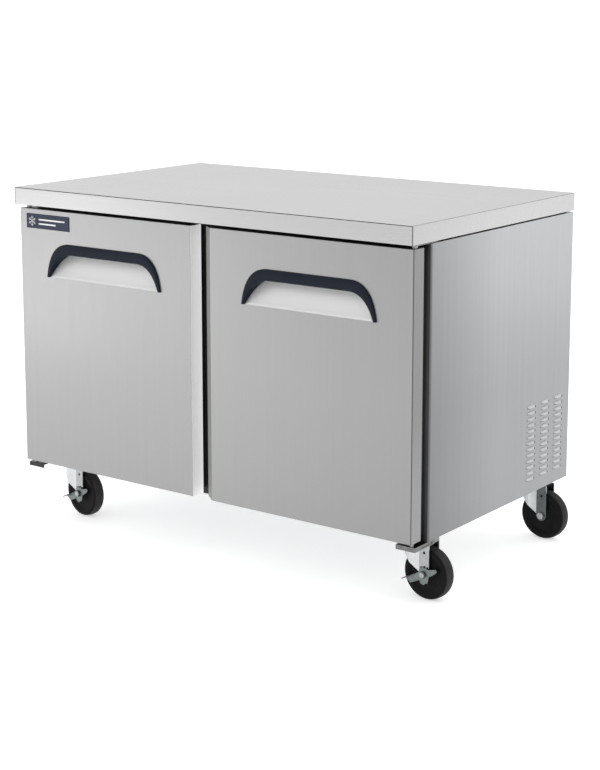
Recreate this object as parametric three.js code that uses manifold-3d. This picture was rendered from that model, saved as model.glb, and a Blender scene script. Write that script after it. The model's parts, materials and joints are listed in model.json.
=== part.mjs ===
// A two-door undercounter refrigerator on swivel casters, in millimetres.
// +X is to the right of someone facing the doors, +Y to the back, +Z up.
// The pieces are drawn about a point on the floor below the middle of the worktop; at the end
// the whole is moved so that the origin is on the floor at the middle of its outer box.
import * as THREE from "three";
import { mergeVertices } from "three/addons/utils/BufferGeometryUtils.js";
import Module from "manifold-3d";

const wasm = await Module();
wasm.setup();

// ---------------------------------------------------------------- driving dimensions
const WIDTH = 1225;
const DEPTH = 750;
const HEIGHT = 896;
const SHEET = 1.5; // stainless sheet
const GAP = 0.3; // between pieces that rest on each other
const BITE = 0.5; // how far a detail sinks into the sheet that it is joined to
const WORKTOP_EDGE = 45; // height of the worktop's turned-down edge
const BASE_Z = 158; // underside of the cabinet
const BASE_T = 2;
const CASE_TOP = HEIGHT - 49;
const CASE_HALF = WIDTH / 2 - 2.5; // outer face of a side panel
const CASE_FRONT = -301; // plane that the door gaskets close on
const CASE_BACK = DEPTH / 2 - 1;
const INSULATION = 50;
const CORNER_R = 10; // bend of a side panel round to the front
const FLANGE = 24; // front flange of a side panel

// cabinet cavity, and the machine room below its raised rear floor
const CAVITY_HALF = CASE_HALF - SHEET - INSULATION - SHEET;
const CAVITY_FLOOR = BASE_Z + INSULATION;
const CAVITY_ROOF = CASE_TOP - INSULATION;
const CAVITY_BACK = CASE_BACK - INSULATION;
const STEP_Z = 437; // raised floor over the machine room
const STEP_Y = 90; // back wall of the low part of the cavity
const MACHINE_ROOF = STEP_Z - INSULATION;
const MACHINE_FRONT = STEP_Y + INSULATION;
const LINER_FRONT = CASE_FRONT + 3;

// doors
const DOOR_FRONT = -362;
const DOOR_BACK = -320; // rear edge of the steel skin
const DOOR_BOTTOM = 166.5;
const DOOR_TOP = 841.5;
const DOOR_OUTER = 607; // hinge side, from the middle of the cabinet
const LEFT_FREE = -32; // free edge of the left door
const RIGHT_FREE = -3; // rearmost free edge of the right door
const BEVEL = { across: 32, deep: 25 }; // finger bevel on the right door's free edge
const INNER_TRAY = 2; // thickness of a door's inner panel round its edge
const INNER_CLEAR = 5; // from the raised middle of the inner panel to the case
const HINGE_X = 595;
const HINGE_Y = -340;
const PIN_R = 5;
const BUSH_R = 5.4;

// recessed handles
const HANDLE_TOP = 758;
const HANDLE_HEIGHT = 90;
const HANDLE_HALF = 192;
const HANDLE_FLAT = 117; // half of the straight top
const HANDLE_BAND = 27; // height of the grip's top band
const HANDLE_TIP = 8;
const HANDLE_PROUD = 5;
const CUP_DEPTH = 34;
const GRIP_LIP = 6; // the lip runs this far behind the door's face
const GRIP_ROOF = 5;

// casters
const WHEEL_R = 63.5;
const WHEEL_HALF = 16;
const TRAIL = 33;
const CASTER_X = 545;
const CASTER_FRONT_Y = -234;
const CASTER_REAR_Y = 324;
const AXLE_R = 5;
const LEG_INNER = 18.6;
const LEG_T = 2.5;
const LEG_HALF = 14; // half width of a leg at the axle
const RACE_R = 30; // swivel raceway
const BRAKE_OUT = 1.5; // keeps the brake lever clear of the fork's flare
const BRAKE_T = 2.5;
const CROWN_Z = 139;

// ---------------------------------------------------------------- materials
const metal = (color, roughness) =>
  new THREE.MeshStandardMaterial({ color, roughness, metalness: 1 });
const plain = (color, roughness) =>
  new THREE.MeshStandardMaterial({ color, roughness, metalness: 0 });
const M = {
  stainless: metal(0xc9cacc, 0.35),
  cup: metal(0xdcdcdc, 0.3),
  zinc: metal(0xb8bcc0, 0.3),
  copper: metal(0xb87333, 0.35),
  fin: metal(0xc4c6c8, 0.45),
  navy: plain(0x1f2637, 0.45),
  gasket: plain(0x222324, 0.7),
  frame: plain(0x2a2b2d, 0.6),
  liner: plain(0xe8e9ea, 0.5),
  foam: plain(0xe6d9a8, 0.9),
  board: plain(0xb89b74, 0.9),
  tyre: plain(0x1b1b1c, 0.6),
  black: plain(0x151617, 0.5),
  wire: plain(0xd8dadc, 0.4),
};

// ---------------------------------------------------------------- solid helpers
// A closed three.js geometry as a manifold-3d solid.
function solid(geometry) {
  const bare = geometry.index ? geometry.toNonIndexed() : geometry.clone();
  bare.deleteAttribute("normal");
  bare.deleteAttribute("uv");
  const merged = mergeVertices(bare, 1e-3);
  const triVerts = new Uint32Array(merged.index.array);
  const vertProperties = new Float32Array(merged.attributes.position.array);
  return new wasm.Manifold(new wasm.Mesh({ numProp: 3, vertProperties, triVerts }));
}

function geometryOf(made) {
  const { vertProperties, triVerts } = made.getMesh();
  const geometry = new THREE.BufferGeometry();
  geometry.setAttribute("position", new THREE.BufferAttribute(new Float32Array(vertProperties), 3));
  geometry.setIndex(new THREE.BufferAttribute(new Uint32Array(triVerts), 1));
  return geometry;
}

const join = (...solids) => solids.reduce((a, b) => a.add(b));
const cut = (from, ...tools) => tools.reduce((a, b) => a.subtract(b), from);
const ordered = (a, b) => [Math.min(a, b), Math.max(a, b)];

function box(x0, x1, y0, y1, z0, z1) {
  const geometry = new THREE.BoxGeometry(x1 - x0, y1 - y0, z1 - z0);
  geometry.translate((x0 + x1) / 2, (y0 + y1) / 2, (z0 + z1) / 2);
  return solid(geometry);
}

function rod(axis, [x, y, z], radius, length, sides = 24) {
  const geometry = new THREE.CylinderGeometry(radius, radius, length, sides);
  if (axis === "x") geometry.rotateZ(Math.PI / 2);
  if (axis === "z") geometry.rotateX(Math.PI / 2);
  geometry.translate(x, y, z);
  return solid(geometry);
}

function shapeOf(points, holes = []) {
  const shape = new THREE.Shape(points.map(([a, b]) => new THREE.Vector2(a, b)));
  for (const hole of holes) {
    shape.holes.push(new THREE.Path(hole.map(([a, b]) => new THREE.Vector2(a, b))));
  }
  return shape;
}

const rectangle = (a0, a1, b0, b1) => [
  [a0, b0],
  [a1, b0],
  [a1, b1],
  [a0, b1],
];

// An outline drawn in the other two axes, in X, Y, Z order, and pulled along one axis.
function pull(axis, shape, from, to, curveSegments = 8) {
  const geometry = new THREE.ExtrudeGeometry(shape, {
    depth: to - from,
    bevelEnabled: false,
    curveSegments,
  });
  const basis = new THREE.Matrix4();
  const [X, Y, Z] = [
    new THREE.Vector3(1, 0, 0),
    new THREE.Vector3(0, 1, 0),
    new THREE.Vector3(0, 0, 1),
  ];
  if (axis === "x") basis.makeBasis(Y, Z, X).setPosition(from, 0, 0);
  if (axis === "y") basis.makeBasis(X, Z, Y.negate()).setPosition(0, to, 0);
  if (axis === "z") basis.makeTranslation(0, 0, from);
  geometry.applyMatrix4(basis);
  return solid(geometry);
}

// A closed profile of [radius, height] points turned about the Y axis.
function turned(profile, sides) {
  const points = profile.map(([r, h]) => new THREE.Vector2(r, h));
  return solid(new THREE.LatheGeometry(points, sides));
}

function node(parent, name, made, material) {
  const mesh = new THREE.Mesh(geometryOf(made), material);
  mesh.name = name;
  parent.add(mesh);
  return mesh;
}

// ---------------------------------------------------------------- worktop
// Pan of sheet turned down and in at its edges, filled with a board whose packer rests on the
// cabinet; the packer leaves the front corners free for the top hinges.
const WORKTOP_HEM = 14; // width of the lip turned in under the edge
const HINGE_NOTCH = { half: 565, back: -261 };

function addWorktop(parent) {
  const [w, d, low] = [WIDTH / 2, DEPTH / 2, HEIGHT - WORKTOP_EDGE];
  const [mouthX, mouthY] = [w - WORKTOP_HEM, d - WORKTOP_HEM];
  const pan = cut(
    box(-w, w, -d, d, low, HEIGHT),
    box(-w + SHEET, w - SHEET, -d + SHEET, d - SHEET, low + SHEET, HEIGHT - SHEET),
    box(-mouthX, mouthX, -mouthY, mouthY, low - 1, low + SHEET + 1),
  );
  node(parent, "worktop", pan, M.stainless);
  const inset = SHEET + GAP;
  const [packerX, packerFront, packerBack] = [mouthX - SHEET, CASE_FRONT + 1, mouthY - SHEET];
  const [packerLow, packerHigh] = [CASE_TOP + GAP, low + inset + 1];
  const board = join(
    box(-w + inset, w - inset, -d + inset, d - inset, low + inset, HEIGHT - inset),
    box(-packerX, packerX, HINGE_NOTCH.back, packerBack, packerLow, packerHigh),
    box(-HINGE_NOTCH.half, HINGE_NOTCH.half, packerFront, packerBack, packerLow, packerHigh),
  );
  node(parent, "worktop_core", board, M.board);
}

// ---------------------------------------------------------------- side panels with louvres
const LOUVRE = {
  columns: [178, 247, 316],
  rows: 13,
  pitch: 15.33,
  top: 385.5,
  half: 19, // half of its length
  tall: 9,
  out: 3.6,
  slope: 1.2, // thickness of the sloping face
  end: 1, // thickness of the closed ends
};

// One pressed louvre on the right-hand panel: a hood that opens downwards.
function louvreHood(y, z) {
  const { half, tall, out, slope, end } = LOUVRE;
  const inner = CASE_HALF - SHEET;
  const hoodSide = [
    [inner, z],
    [CASE_HALF, z],
    [CASE_HALF + out, z - tall],
    [inner, z - tall],
  ];
  const hollowSide = [
    [inner - 1, z - 2],
    [CASE_HALF - 0.4, z - 2],
    [CASE_HALF + out - slope, z - tall - 1],
    [inner - 1, z - tall - 1],
  ];
  const hood = pull("y", shapeOf(hoodSide), y - half, y + half);
  const inside = pull("y", shapeOf(hollowSide), y - half + end, y + half - end);
  return { hood, inside };
}

function sidePanel() {
  const inner = CORNER_R - SHEET;
  const outline = new THREE.Shape();
  const cx = CASE_HALF - CORNER_R;
  const cy = CASE_FRONT + CORNER_R;
  outline.moveTo(CASE_HALF, CASE_BACK);
  outline.lineTo(CASE_HALF - SHEET, CASE_BACK);
  outline.lineTo(CASE_HALF - SHEET, cy);
  outline.absarc(cx, cy, inner, 0, -Math.PI / 2, true);
  outline.lineTo(CASE_HALF - FLANGE, CASE_FRONT + SHEET);
  outline.lineTo(CASE_HALF - FLANGE, CASE_FRONT);
  outline.lineTo(cx, CASE_FRONT);
  outline.absarc(cx, cy, CORNER_R, -Math.PI / 2, 0, false);
  const hoods = [];
  const insides = [];
  for (const y of LOUVRE.columns) {
    for (let row = 0; row < LOUVRE.rows; row += 1) {
      const { hood, inside } = louvreHood(y, LOUVRE.top - row * LOUVRE.pitch);
      hoods.push(hood);
      insides.push(inside);
    }
  }
  return cut(join(pull("z", outline, BASE_Z, CASE_TOP, 5), ...hoods), ...insides);
}

// Air slots in the base under the machine room.
const AIR_SLOT = { each: 3, pitch: 80, half: 30, y0: 345, y1: 357 };

function addCase(parent) {
  const right = sidePanel();
  node(parent, "side_panel_right", right, M.stainless);
  node(parent, "side_panel_left", right.mirror([1, 0, 0]), M.stainless);

  const inner = CASE_HALF - SHEET - GAP;
  const rear = box(-inner, inner, CASE_BACK - SHEET, CASE_BACK, MACHINE_ROOF + GAP, CASE_TOP);
  node(parent, "rear_panel", rear, M.stainless);

  const floorBack = CASE_BACK - SHEET;
  const airSlots = [];
  for (let i = -AIR_SLOT.each; i <= AIR_SLOT.each; i += 1) {
    const x = i * AIR_SLOT.pitch;
    const { half, y0, y1 } = AIR_SLOT;
    airSlots.push(box(x - half, x + half, y0, y1, BASE_Z - 1, BASE_Z + BASE_T + 1));
  }
  const base = cut(
    join(
      box(-inner, inner, CASE_FRONT + CORNER_R, floorBack - GAP, BASE_Z, BASE_Z + BASE_T),
      box(-inner + CORNER_R, inner - CORNER_R, LINER_FRONT, 0, BASE_Z, BASE_Z + BASE_T),
    ),
    ...airSlots,
  );
  node(parent, "base_panel", base, M.zinc);

  // sheet that lines the machine room's roof and front wall
  const bulkhead = join(
    box(-inner, inner, MACHINE_FRONT, floorBack - GAP, MACHINE_ROOF - SHEET, MACHINE_ROOF),
    box(-inner, inner, MACHINE_FRONT - SHEET, MACHINE_FRONT, BASE_Z + BASE_T + GAP, MACHINE_ROOF),
  );
  node(parent, "machine_bulkhead", bulkhead, M.zinc);

  // dark breaker frame round the mouth of the cavity
  const faceHalf = CASE_HALF - FLANGE - GAP;
  const frame = cut(
    box(-faceHalf, faceHalf, CASE_FRONT, LINER_FRONT - GAP, BASE_Z, CASE_TOP),
    box(-CAVITY_HALF, CAVITY_HALF, CASE_FRONT - 1, LINER_FRONT, CAVITY_FLOOR, CAVITY_ROOF),
  );
  node(parent, "face_frame", frame, M.frame);
}

// ---------------------------------------------------------------- insulated cavity
// Side view of the cavity, grown by t all round except at its open front.
const cavitySide = (t, front) => [
  [front, CAVITY_FLOOR - t],
  [STEP_Y + t, CAVITY_FLOOR - t],
  [STEP_Y + t, STEP_Z - t],
  [CAVITY_BACK + t, STEP_Z - t],
  [CAVITY_BACK + t, CAVITY_ROOF + t],
  [front, CAVITY_ROOF + t],
];

const SHELF_Z = 512;
const MULLION = { x0: -56, x1: 24, depth: 38, inset: 4 };
const SHELVES = [
  ["shelf_left", -CAVITY_HALF + 4, MULLION.x0 + 8],
  ["shelf_right", MULLION.x1 - 8, CAVITY_HALF - 4],
];
const SHELF_Y = [-252, 306];
const LEDGE = { long: 30, out: 11, high: 12, starts: [-200, 230] };
const FOAM_CORNER = 12; // the foam stops this far short of the side panels' front bends

function addCavity(parent) {
  const liner = cut(
    pull("x", shapeOf(cavitySide(SHEET, LINER_FRONT)), -CAVITY_HALF - SHEET, CAVITY_HALF + SHEET),
    pull("x", shapeOf(cavitySide(0, LINER_FRONT - 1)), -CAVITY_HALF, CAVITY_HALF),
  );
  const [ledgeLow, ledgeTop] = [SHELF_Z - LEDGE.high, SHELF_Z - GAP];
  const ledges = [];
  for (const y of LEDGE.starts) {
    for (const side of [-1, 1]) {
      const [x0, x1] = ordered(side * (CAVITY_HALF + BITE), side * (CAVITY_HALF - LEDGE.out));
      ledges.push(box(x0, x1, y, y + LEDGE.long, ledgeLow, ledgeTop));
    }
  }
  // brackets on the back wall for the inner ends of the shelves
  const reach = CAVITY_BACK - SHELF_Y[1] + LEDGE.out;
  for (const x of [MULLION.x0 - LEDGE.long, MULLION.x1]) {
    ledges.push(
      box(x, x + LEDGE.long, CAVITY_BACK - reach, CAVITY_BACK + BITE, ledgeLow, ledgeTop),
    );
  }
  node(parent, "inner_liner", join(liner, ...ledges), M.liner);

  const halfFoam = CASE_HALF - SHEET - GAP;
  const lowFoam = BASE_Z + BASE_T + GAP;
  const foamSide = [
    [LINER_FRONT + 1, lowFoam],
    [MACHINE_FRONT - SHEET - GAP, lowFoam],
    [MACHINE_FRONT - SHEET - GAP, MACHINE_ROOF + GAP],
    [CASE_BACK - SHEET - GAP, MACHINE_ROOF + GAP],
    [CASE_BACK - SHEET - GAP, CASE_TOP],
    [LINER_FRONT + 1, CASE_TOP],
  ];
  const foam = cut(
    pull("x", shapeOf(foamSide), -halfFoam, halfFoam),
    pull(
      "x",
      shapeOf(cavitySide(SHEET + GAP, LINER_FRONT - 1)),
      -CAVITY_HALF - SHEET - GAP,
      CAVITY_HALF + SHEET + GAP,
    ),
    ...[-1, 1].map((side) => {
      const [x0, x1] = ordered(side * (halfFoam - FOAM_CORNER), side * (halfFoam + 1));
      return box(x0, x1, CASE_FRONT - 1, CASE_FRONT + FOAM_CORNER, 0, HEIGHT);
    }),
  );
  node(parent, "foam_core", foam, M.foam);

  const { x0, x1, depth, inset } = MULLION;
  const postBack = CASE_FRONT + depth;
  const post = join(
    box(x0, x1, CASE_FRONT, postBack, CAVITY_FLOOR + GAP, CAVITY_ROOF - GAP),
    box(x0 + inset, x1 - inset, postBack - BITE, SHELF_Y[0] + LEDGE.out, ledgeLow, ledgeTop),
  );
  node(parent, "centre_mullion", post, M.frame);
}

// A coated wire shelf: a rim with a stiffener across it and wires from front to back.
const WIRE = { rim: 5, bar: 5, barHigh: 3.5, count: 9, width: 3 };

function addShelves(parent) {
  const [y0, y1] = SHELF_Y;
  const { rim, bar, barHigh, count, width } = WIRE;
  const low = SHELF_Z;
  const midY = (y0 + y1) / 2;
  for (const [name, x0, x1] of SHELVES) {
    const parts = [
      cut(
        box(x0, x1, y0, y1, low, low + rim),
        box(x0 + rim, x1 - rim, y0 + rim, y1 - rim, low - 1, low + rim + 1),
      ),
      box(x0 + 1, x1 - 1, midY - bar / 2, midY + bar / 2, low, low + barHigh),
    ];
    const spacing = (x1 - x0 - 2 * rim) / (count + 1);
    for (let i = 1; i <= count; i += 1) {
      const x = x0 + rim + i * spacing;
      const z = low + barHigh - BITE;
      parts.push(box(x - width / 2, x + width / 2, y0 + 1, y1 - 1, z, z + width));
    }
    node(parent, name, join(...parts), M.wire);
  }
}

// ---------------------------------------------------------------- cooling unit in the cavity
const EVAP = { half: 260, y0: 214, z0: 560, z1: 785, wall: 2, mouthR: 78, bladeR: 68 };
const EVAP_GRILLE = { x: 175, half: 60, rows: 6, pitch: 26, low: 38, tall: 8 };
const EVAP_COIL = { half: 200, behind: 52, inset: 22 };
const KNOB = { radius: 15, long: 14, gripHalf: 13, gripT: 4, inset: [34, 22] };

function evaporatorCover() {
  const { half, y0, z0, z1, wall, mouthR } = EVAP;
  const yBack = CAVITY_BACK - GAP;
  const slots = [];
  for (const side of [-1, 1]) {
    for (let row = 0; row < EVAP_GRILLE.rows; row += 1) {
      const x = side * EVAP_GRILLE.x;
      const z = z0 + EVAP_GRILLE.low + row * EVAP_GRILLE.pitch;
      const [x0, x1] = [x - EVAP_GRILLE.half, x + EVAP_GRILLE.half];
      slots.push(box(x0, x1, y0 - 1, y0 + wall + 1, z, z + EVAP_GRILLE.tall));
    }
  }
  return cut(
    box(-half, half, y0, yBack, z0, z1),
    box(-half + wall, half - wall, y0 + wall, yBack + 1, z0 + wall, z1 - wall),
    rod("y", [0, y0, (z0 + z1) / 2], mouthR, 10, 32),
    ...slots,
  );
}

// A turning knob with a raised grip across its face; its back is at y = 0.
function knobSolid() {
  const { radius, long, gripHalf, gripT } = KNOB;
  return join(
    rod("y", [0, -long / 2, 0], radius, long, 20),
    box(-gripT / 2, gripT / 2, -long - 4, -1, -gripHalf, gripHalf),
  );
}

function addEvaporator(parent) {
  const { half, y0, z0, z1, wall, bladeR } = EVAP;
  const midZ = (z0 + z1) / 2;
  node(parent, "evaporator_cover", evaporatorCover(), M.liner);

  const coil = finCoil({
    x0: -EVAP_COIL.half,
    x1: EVAP_COIL.half,
    y0: y0 + EVAP_COIL.behind,
    y1: CAVITY_BACK - GAP - 6,
    z0: z0 + EVAP_COIL.inset,
    z1: z1 - EVAP_COIL.inset,
    fins: 13,
    bends: 2,
  });
  node(parent, "evaporator_coil", coil, M.fin);

  const fan = new THREE.Group();
  fan.position.set(0, y0 + 26, midZ);
  node(fan, "evaporator_fan_blade", fanWheel(bladeR, 4), M.black);
  parent.add(fan);
  // the motor stands behind the fan on a post from the cover's floor
  const motorY = y0 + 43;
  const motor = join(
    rod("y", [0, motorY, midZ], 22, 13, 16),
    box(-8, 8, motorY - 2, motorY + 3, z0 + wall + GAP, midZ),
  );
  node(parent, "evaporator_fan_motor", motor, M.black);

  const knob = new THREE.Group();
  knob.position.set(half - KNOB.inset[0], y0 - GAP, z0 + KNOB.inset[1]);
  node(knob, "thermostat_knob", knobSolid(), M.black);
  parent.add(knob);
}

// A finned coil: plates that stand out both ways from a web of tubes, with return bends at its ends.
function finCoil({ x0, x1, y0, y1, z0, z1, fins, bends }) {
  const midY = (y0 + y1) / 2;
  const pitch = (x1 - x0 - 2) / (fins - 1);
  const plates = [];
  for (let i = 0; i < fins; i += 1) plates.push([x0 + i * pitch, x0 + i * pitch + 2]);
  const outline = [];
  for (const [a, b] of plates) outline.push([a, midY - 4], [a, y0], [b, y0], [b, midY - 4]);
  for (const [a, b] of plates.toReversed()) outline.push([b, midY + 4], [b, y1], [a, y1], [a, midY + 4]);
  const parts = [pull("z", shapeOf(outline), z0, z1)];
  const drop = (z1 - z0) / (2 * bends);
  for (let i = 0; i < bends; i += 1) {
    const z = z0 + drop * (2 * i + 1);
    for (const [x, turn] of [[x0 + 1, Math.PI / 2], [x1 - 1, -Math.PI / 2]]) {
      const bend = new THREE.Shape();
      bend.absarc(x, z, drop * 0.55 + 4, turn, turn + Math.PI, false);
      bend.absarc(x, z, drop * 0.55 - 4, turn + Math.PI, turn, true);
      parts.push(pull("y", bend, midY - 4, midY + 4, 4));
    }
  }
  return join(...parts);
}

// A fan wheel about the Y axis: a hub with flat blades set at an angle.
const FAN = { hubR: 16, hubLong: 20, root: 12, bladeT: 1.6, pitch: 24, chord: 0.55 };

function fanWheel(radius, blades) {
  const parts = [rod("y", [0, 0, 0], FAN.hubR, FAN.hubLong, 16)];
  for (let i = 0; i < blades; i += 1) {
    const blade = new THREE.BoxGeometry(radius - FAN.root, FAN.bladeT, radius * FAN.chord);
    blade.rotateX(THREE.MathUtils.degToRad(FAN.pitch));
    blade.translate((radius + FAN.root) / 2, 0, 0);
    blade.rotateY((i * 2 * Math.PI) / blades);
    parts.push(solid(blade));
  }
  return join(...parts);
}

// ---------------------------------------------------------------- machine room
const MACHINE_FLOOR = BASE_Z + BASE_T + GAP;
const COMPRESSOR = { x: -330, y: 256, radius: 68, straight: 60, feetX: 70, feetY: 48, foot: 14 };
const CONDENSER = { x0: 250, x1: 520, y0: 170, deep: 60, z0: 186, z1: 366 };
const SHROUD = { behind: 66, plate: 3, outerR: 86, innerR: 82, long: 28, sunk: 12 };
const DRAIN_PAN = { x0: -150, x1: 120, y0: 180, y1: 330, high: 36, wall: 2 };
const VENT = { middles: [-330, 330], half: 150, rows: 7, pitch: 24, low: 40, tall: 10 };
const INLET = { x: 550, z: 216, halfX: 14, halfZ: 12, flange: 6, deep: 26, wall: 3 };

// A hermetic pot on a foot plate with four rubber feet, a terminal box and a process tube.
function compressorSolid() {
  const { x, y, radius, straight, feetX, feetY, foot } = COMPRESSOR;
  const low = MACHINE_FLOOR + foot;
  const pot = new THREE.CapsuleGeometry(radius, straight, 4, 18);
  pot.rotateX(Math.PI / 2);
  pot.translate(x, y, low + radius + 34);
  const parts = [
    solid(pot),
    box(x - 85, x + 85, y - 62, y + 62, low, low + 4),
    box(x - 20, x + 20, y - 20, y + 20, low + 2, low + 40),
    box(x + 55, x + 92, y - 28, y + 28, low + 70, low + 128),
    rod("z", [x - 30, y - 40, low + 176], 5, 60, 12),
  ];
  for (const dx of [-feetX, feetX]) {
    for (const dy of [-feetY, feetY]) {
      parts.push(rod("z", [x + dx, y + dy, MACHINE_FLOOR + 8], 11, 16, 12));
    }
  }
  return join(...parts);
}

// A plate with a short duct round the fan; the fan's motor stands behind it on an arm.
function fanHousing(midX, midZ) {
  const { x0, x1, y0, z0, z1 } = CONDENSER;
  const { behind, plate, outerR, innerR, long, sunk } = SHROUD;
  const front = y0 + behind;
  const ductY = front + long / 2 + 2;
  const armY = y0 + 111;
  return join(
    cut(
      box(x0 - 6, x1 + 6, front, front + plate, z0 - sunk, z1 + 6),
      rod("y", [midX, front + 1, midZ], innerR, 10, 32),
    ),
    cut(
      rod("y", [midX, ductY, midZ], outerR, long, 32),
      rod("y", [midX, ductY, midZ], innerR, long + 12, 32),
    ),
    box(midX - 5, midX + 5, armY, armY + 8, z0 - sunk, midZ),
    box(midX - 5, midX + 5, front, armY + 8, z0 - sunk, z0 - 4),
    rod("y", [midX, armY + 18, midZ], 24, 34, 20),
  );
}

function rearGrille() {
  const slots = [];
  for (let row = 0; row < VENT.rows; row += 1) {
    const z = BASE_Z + VENT.low + row * VENT.pitch;
    for (const x of VENT.middles) {
      const [x0, x1] = [x - VENT.half, x + VENT.half];
      slots.push(box(x0, x1, CASE_BACK - 5, CASE_BACK + 5, z, z + VENT.tall));
    }
  }
  const { x, z, halfX, halfZ } = INLET;
  const inner = CASE_HALF - SHEET - GAP;
  return cut(
    box(-inner, inner, CASE_BACK - SHEET, CASE_BACK, BASE_Z, MACHINE_ROOF - GAP),
    ...slots,
    box(x - halfX, x + halfX, CASE_BACK - 5, CASE_BACK + 5, z - halfZ, z + halfZ),
  );
}

// The mains inlet: a socket body that snaps into the grille from inside.
function powerInlet() {
  const { x, z, halfX, halfZ, flange, deep, wall } = INLET;
  const [bodyX, bodyZ] = [halfX - 0.4, halfZ - 0.4];
  const [mouthX, mouthZ] = [halfX - wall, halfZ - wall];
  const [backX, backZ] = [halfX + flange, halfZ + flange - 1];
  const seat = CASE_BACK - SHEET - GAP;
  return cut(
    join(
      box(x - bodyX, x + bodyX, CASE_BACK - deep, CASE_BACK + BITE, z - bodyZ, z + bodyZ),
      box(x - backX, x + backX, CASE_BACK - 6, seat, z - backZ, z + backZ),
    ),
    box(x - mouthX, x + mouthX, CASE_BACK - 16, CASE_BACK + 2, z - mouthZ, z + mouthZ),
  );
}

function addMachineRoom(parent) {
  node(parent, "compressor", compressorSolid(), M.black);

  const { x0, x1, y0, deep, z0, z1 } = CONDENSER;
  const coil = finCoil({ x0, x1, y0, y1: y0 + deep, z0, z1, fins: 13, bends: 3 });
  node(parent, "condenser_coil", coil, M.copper);

  const [midX, midZ] = [(x0 + x1) / 2, (z0 + z1) / 2];
  node(parent, "condenser_fan_housing", fanHousing(midX, midZ), M.black);
  const fan = new THREE.Group();
  fan.position.set(midX, y0 + 84, midZ);
  node(fan, "condenser_fan_blade", fanWheel(SHROUD.innerR - 8, 5), M.zinc);
  parent.add(fan);

  const { wall, high, ...pan } = DRAIN_PAN;
  const tray = cut(
    box(pan.x0, pan.x1, pan.y0, pan.y1, MACHINE_FLOOR, MACHINE_FLOOR + high),
    box(
      pan.x0 + wall,
      pan.x1 - wall,
      pan.y0 + wall,
      pan.y1 - wall,
      MACHINE_FLOOR + wall,
      MACHINE_FLOOR + high + 1,
    ),
  );
  node(parent, "drain_pan", tray, M.black);
  node(parent, "rear_grille", rearGrille(), M.stainless);
  node(parent, "power_inlet", powerInlet(), M.black);
}

// ---------------------------------------------------------------- hinges
const BOTTOM_HINGE = { x0: 558, y0: -350, y1: -268, lip: 11, sheet: 3, pin: 29 };
const TOP_HINGE = { x0: 566, x1: CASE_HALF - 3, y0: -352, y1: -262, plate: 3, pin: 31 };
const WASHER = { radius: 9, high: 3 };

// Bottom hinge on the right-hand side: a plate with turned-down lips and a pin.
function bottomHinge() {
  const { x0, y0, y1, lip, sheet, pin } = BOTTOM_HINGE;
  const [x1, top] = [CASE_HALF, BASE_Z - GAP];
  return join(
    box(x0, x1, y0, y1, top - sheet, top),
    box(x0, x1, y0, y0 + sheet, top - lip, top),
    box(x1 - sheet, x1, y0, y1, top - lip, top),
    rod("z", [HINGE_X, HINGE_Y, top + (pin - 1) / 2], PIN_R, pin + 1, 16),
  );
}

// Top hinge on the right-hand side: a plate on the case with a pin down into the door.
function topHinge() {
  const { x0, x1, y0, y1, plate, pin } = TOP_HINGE;
  const low = CASE_TOP + GAP;
  return join(
    box(x0, x1, y0, y1, low, low + plate),
    rod("z", [HINGE_X, HINGE_Y, low + (1 - pin) / 2], PIN_R, pin + 1, 16),
    rod("z", [HINGE_X, HINGE_Y, low - WASHER.high / 2], WASHER.radius, WASHER.high, 16),
  );
}

function addHinges(parent) {
  const hinges = { bottom_hinge: bottomHinge(), top_hinge: topHinge() };
  for (const [name, made] of Object.entries(hinges)) {
    node(parent, `${name}_right`, made, M.zinc);
    node(parent, `${name}_left`, made.mirror([1, 0, 0]), M.zinc);
  }
}

// ---------------------------------------------------------------- doors
// Front outline of the arched handle opening about its middle; grow moves its edge outwards.
const SHOULDER = 48; // how far the arch's curve leans out past its flat top

function archOutline(half, flat, top, bottom, grow = 0) {
  const shape = new THREE.Shape();
  shape.moveTo(-half - grow, bottom - grow);
  shape.lineTo(half + grow, bottom - grow);
  shape.quadraticCurveTo(flat + SHOULDER + grow, top + grow, flat, top + grow);
  shape.lineTo(-flat, top + grow);
  shape.quadraticCurveTo(-flat - SHOULDER - grow, top + grow, -half - grow, bottom - grow);
  return shape;
}

// The hollow behind the arch: deep under the band, meeting the door's face at the bottom.
function cupHollow(middle, grow) {
  const bottom = HANDLE_TOP - HANDLE_HEIGHT;
  const outline = archOutline(HANDLE_HALF, HANDLE_FLAT, HANDLE_TOP, bottom, grow);
  const arch = pull("y", outline, DOOR_FRONT - 20, DOOR_FRONT + CUP_DEPTH + grow, 10);
  const slope = pull(
    "x",
    shapeOf([
      [DOOR_FRONT - 25, bottom - grow],
      [DOOR_FRONT, bottom - grow],
      [DOOR_FRONT + CUP_DEPTH + grow, HANDLE_TOP - HANDLE_BAND],
      [DOOR_FRONT + CUP_DEPTH + grow, HANDLE_TOP + 10],
      [DOOR_FRONT - 25, HANDLE_TOP + 10],
    ]),
    -HANDLE_HALF - 20,
    HANDLE_HALF + 20,
  );
  return arch.intersect(slope).translate([middle, 0, 0]);
}

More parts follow.
